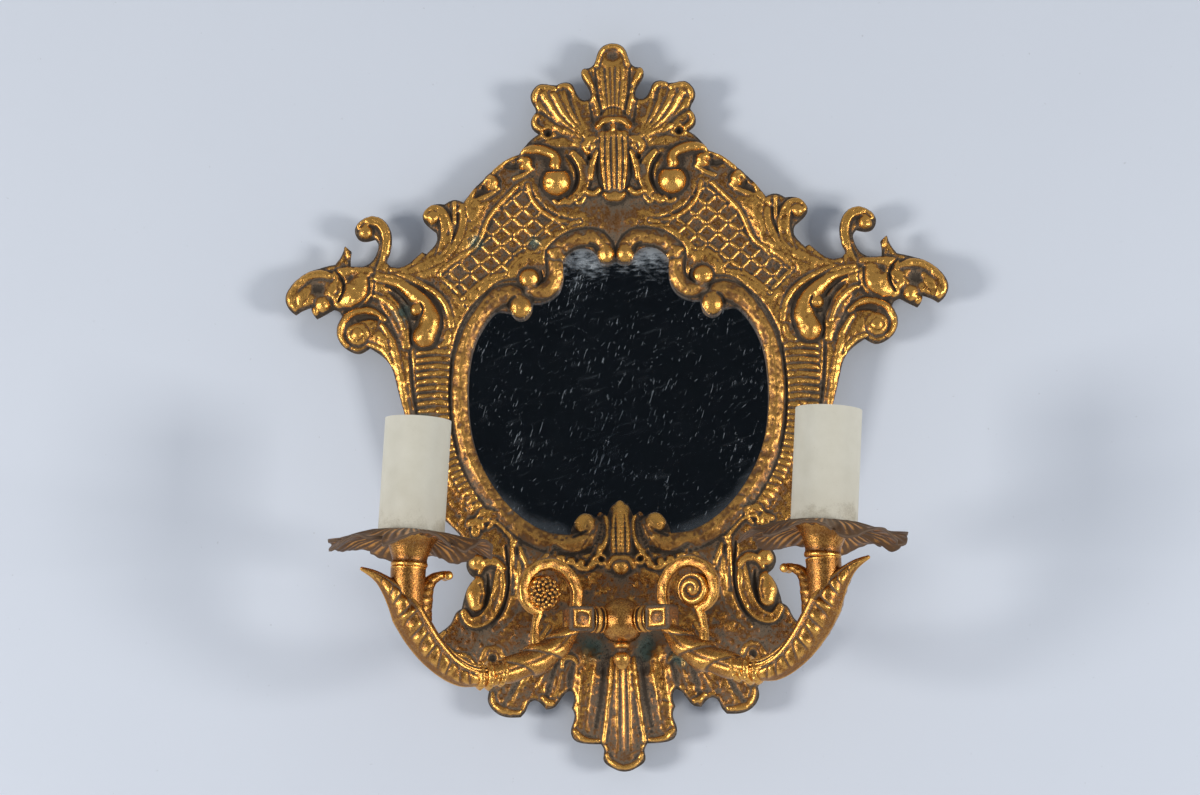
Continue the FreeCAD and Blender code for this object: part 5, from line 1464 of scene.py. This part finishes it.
# ---------------------------------------------------------------- studio
def backdrop_finish():
    """Pale wall and floor, a little speckled. From behind it doesn't hide the object, and light
    that starts or ends close to it passes, so that the object's back isn't dark."""
    paint = Paint("pale backdrop")
    clouds = paint.noise(260, 3)
    specks = paint.noise(2.6, 2, 0.6)
    shade = paint.mix(clouds, colour(222, 227, 235), colour(214, 219, 228))
    shade = paint.mix(specks.between(0.74, 0.8) * 0.35, shade, colour(170, 172, 176))
    wall = paint.node("ShaderNodeBsdfPrincipled", {}, {"Base Color": shade, "Roughness": 0.85})
    clear = paint.node("ShaderNodeBsdfTransparent", {}, {})
    behind = paint.node("ShaderNodeNewGeometry", {}, {}, "Backfacing")
    reach = paint.node("ShaderNodeLightPath", {}, {}, "Ray Length")
    close = 1 - reach.between(0.012, 0.04)
    paint.node_out(paint.node("ShaderNodeMixShader", {}, {0: (behind + close).clamp(), 1: wall, 2: clear}))
    return paint.material


def backdrop():
    """One sheet: the wall behind, a wide bend and the floor far below."""
    wall_y, half, floor_z, bend = 0.0012, 2.6, -1.1, 0.5
    profile = [(wall_y, 1.6), (wall_y, 0.4), (wall_y, floor_z + bend)]
    for i in range(1, 13):
        t = i / 12 * pi / 2
        profile.append((wall_y - bend + bend * cos(t), floor_z + bend - bend * sin(t)))
    profile.append((-4.5, floor_z))
    verts = [(x, y, z) for y, z in profile for x in (-half, half)]
    faces = [(2 * i, 2 * i + 1, 2 * i + 3, 2 * i + 2) for i in range(len(profile) - 1)]
    mesh = bpy.data.meshes.new("backdrop")
    mesh.from_pydata(verts, [], [f[::-1] for f in faces])
    mesh.polygons.foreach_set("use_smooth", [True] * len(faces))
    mesh.materials.append(backdrop_finish())
    mesh.update()
    put("backdrop", mesh)


def dark_card():
    """A black card in front of the mirror that only reflections see."""
    mesh = bpy.data.meshes.new("dark_card")
    y, half, low, high = -2.3, 0.32, -0.05, 0.62
    corners = [(-half, y, low), (half, y, low), (half, y, high), (-half, y, high)]
    mesh.from_pydata(corners, [], [(0, 1, 2, 3)])
    paint = Paint("black card")
    shade = paint.noise(60, 2)
    black = paint.mix(shade, (0.017, 0.019, 0.021, 1), (0.023, 0.026, 0.028, 1))
    mesh.materials.append(paint.finish(black, 0.95, 0.0, Specular_IOR_Level=0.0))
    mesh.update()
    card = put("dark_card", mesh)
    card.visible_camera = False
    card.visible_diffuse = False
    card.visible_shadow = False
    card.visible_transmission = False


def lamp(name, side, power):
    """A soft square lamp, low in front and to one side, aimed at the glass."""
    light = bpy.data.lights.new(name, "AREA")
    light.shape = "RECTANGLE"
    light.size, light.size_y = 0.34, 0.34
    light.energy = power
    light.color = (1.0, 0.985, 0.96)
    place, target = Vector((side * 1.15, -0.92, -0.33)), Vector((0, -0.02, -0.1))
    obj = put(name, light)
    obj.location = place
    obj.rotation_mode = "QUATERNION"
    obj.rotation_quaternion = (target - place).to_track_quat("-Z", "Y")


def lights():
    """Two lamps and a dim bluish surround."""
    lamp("left_lamp", -1, 10.0)
    lamp("right_lamp", 1, 9.0)
    world = bpy.data.worlds.new("studio")
    bpy.context.scene.world = world
    world.use_nodes = True
    tree = world.node_tree
    tree.nodes["Background"].inputs["Color"].default_value = (0.80, 0.86, 0.95, 1)
    tree.nodes["Background"].inputs["Strength"].default_value = 0.40


def camera():
    """Slightly below the middle and tilted up, with a small roll, as the photograph is."""
    aim = np.array([0.0, -13.0, -96.0])
    swing, tip, roll = radians(1.0), radians(9.0), radians(0.95)
    distance, focal = 1300.0, 3042.0
    aim_u, aim_v = 618, 392.5
    ahead = np.array([-sin(swing) * cos(tip), cos(swing) * cos(tip), sin(tip)])
    right = np.array([cos(swing), sin(swing), 0.0])
    up = np.cross(right, ahead)
    image_right = right * cos(roll) - up * sin(roll)
    image_up = right * sin(roll) + up * cos(roll)
    shift = distance / focal
    eye = aim - image_right * (aim_u - PHOTO_WIDE / 2) * shift - image_up * (PHOTO_HIGH / 2 - aim_v) * shift
    eye = (eye - ahead * distance) * MM
    view = bpy.data.cameras.new("camera")
    view.sensor_width = 36.0
    view.sensor_fit = "HORIZONTAL"
    view.lens = focal / PHOTO_WIDE * view.sensor_width
    view.clip_start, view.clip_end = 0.05, 50.0
    obj = put("camera", view)
    turn = np.eye(4)
    turn[:3, 0], turn[:3, 1], turn[:3, 2], turn[:3, 3] = image_right, image_up, -ahead, eye
    obj.matrix_world = Matrix(turn.tolist())
    bpy.context.scene.camera = obj


# ---------------------------------------------------------------- all pieces
def dress(material, *nodes):
    """A better finish on CAD nodes whose shape is right."""
    for name in nodes:
        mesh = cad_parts[name].data
        mesh.materials.clear()
        mesh.materials.append(material)


def both(*names):
    """The names of the left and the right copy of each node."""
    return [f"{name}_{side}" for name in names for side in SIDES]


def build_face():
    """The cast frame: its carved front in two halves, and its plain back."""
    face, border = carved_heights()
    gilt = gilding("worn gilding")
    for side in SIDES:
        verts, faces, marks = face_half(face, border, side)
        make(f"carved_face_{side}", (verts, faces), gilt,
             replaces=("frame_casting",), marks=marks)
    rear = back_finish()
    make("casting_inside", back_plate(), rear, rounded=False)
    make("casting_skirt", skirt(), rear)
    make("casting_pads", back_bosses(), rear)


def build_hub():
    """The ball that carries the arms, the boss behind it and the bud under it."""
    gilt = gilding("speckled hub gilding", brown=0.35, green=False)
    at_hub = Matrix.Translation(HUB)
    make("hub_ball_worn", placed(ball_part(), at_hub), gilt,
         replaces=("hub_ball",))
    boss_foot = Matrix.Translation((0, -PLATE_BACK - 1, HUB[2]))
    make("hub_boss", placed(boss_part(), boss_foot @ TO_FRONT), gilt)
    drop = Matrix.Translation(HUB + (0, 0, 0.6 - HUB_RADIUS))
    make("drop_bud", placed(finial_part(), drop), gilt,
         replaces=("drop_finial",))


def build_arm(side, arm_gilt, cup_gilt, pan_brown):
    """One arm with its collar, cup and drip pan."""
    arm = on_arm(side)
    collar = arm @ Matrix.Translation((COLLAR_START, 0, 0)) @ TO_X
    make(f"arm_collar_turned_{side}", placed(collar_part(), collar), arm_gilt,
         replaces=(f"arm_collar_{side}",))
    make(f"arm_cast_{side}", placed(arm_part(side), arm), arm_gilt,
         replaces=(f"arm_{side}",))
    candle = on_candle(side)
    make(f"pan_cup_turned_{side}", placed(cup_part(), candle), cup_gilt,
         replaces=(f"pan_cup_{side}",))
    make(f"drip_pan_petals_{side}", placed(pan_part(side), candle), pan_brown,
         replaces=(f"drip_pan_{side}",))


bpy.context.scene.view_settings.view_transform = "Standard"
camera()
lights()
backdrop()
dark_card()
build_face()
build_hub()
arm_gilt = gilding("arm gilding", brown=0.34, green=False)
cup_gilt = gilding("cup gilding", brown=0.15, green=False)
pan_brown = pan_finish()
for side in SIDES:
    build_arm(side, arm_gilt, cup_gilt, pan_brown)
dress(mirror_finish(), "mirror_glass")
dress(board_finish(), "backing_board")
dress(card_finish(), *both("candle_sleeve"))
dress(holder_finish(), *both("lampholder_body"))
dress(zinc_finish("dull zinc", colour(178, 178, 174), colour(120, 116, 108)),
      "clip_screws", "hanger_plate", "hanger_screws", "hub_stud", "hub_washer", "hub_nut",
      *both("arm_stud", "nipple", "holder_nut"))
dress(zinc_finish("plain brass", colour(214, 178, 104), colour(148, 112, 60)),
      *both("lampholder_shell", "lampholder_contact", "turn_clip_upper", "turn_clip_lower"))
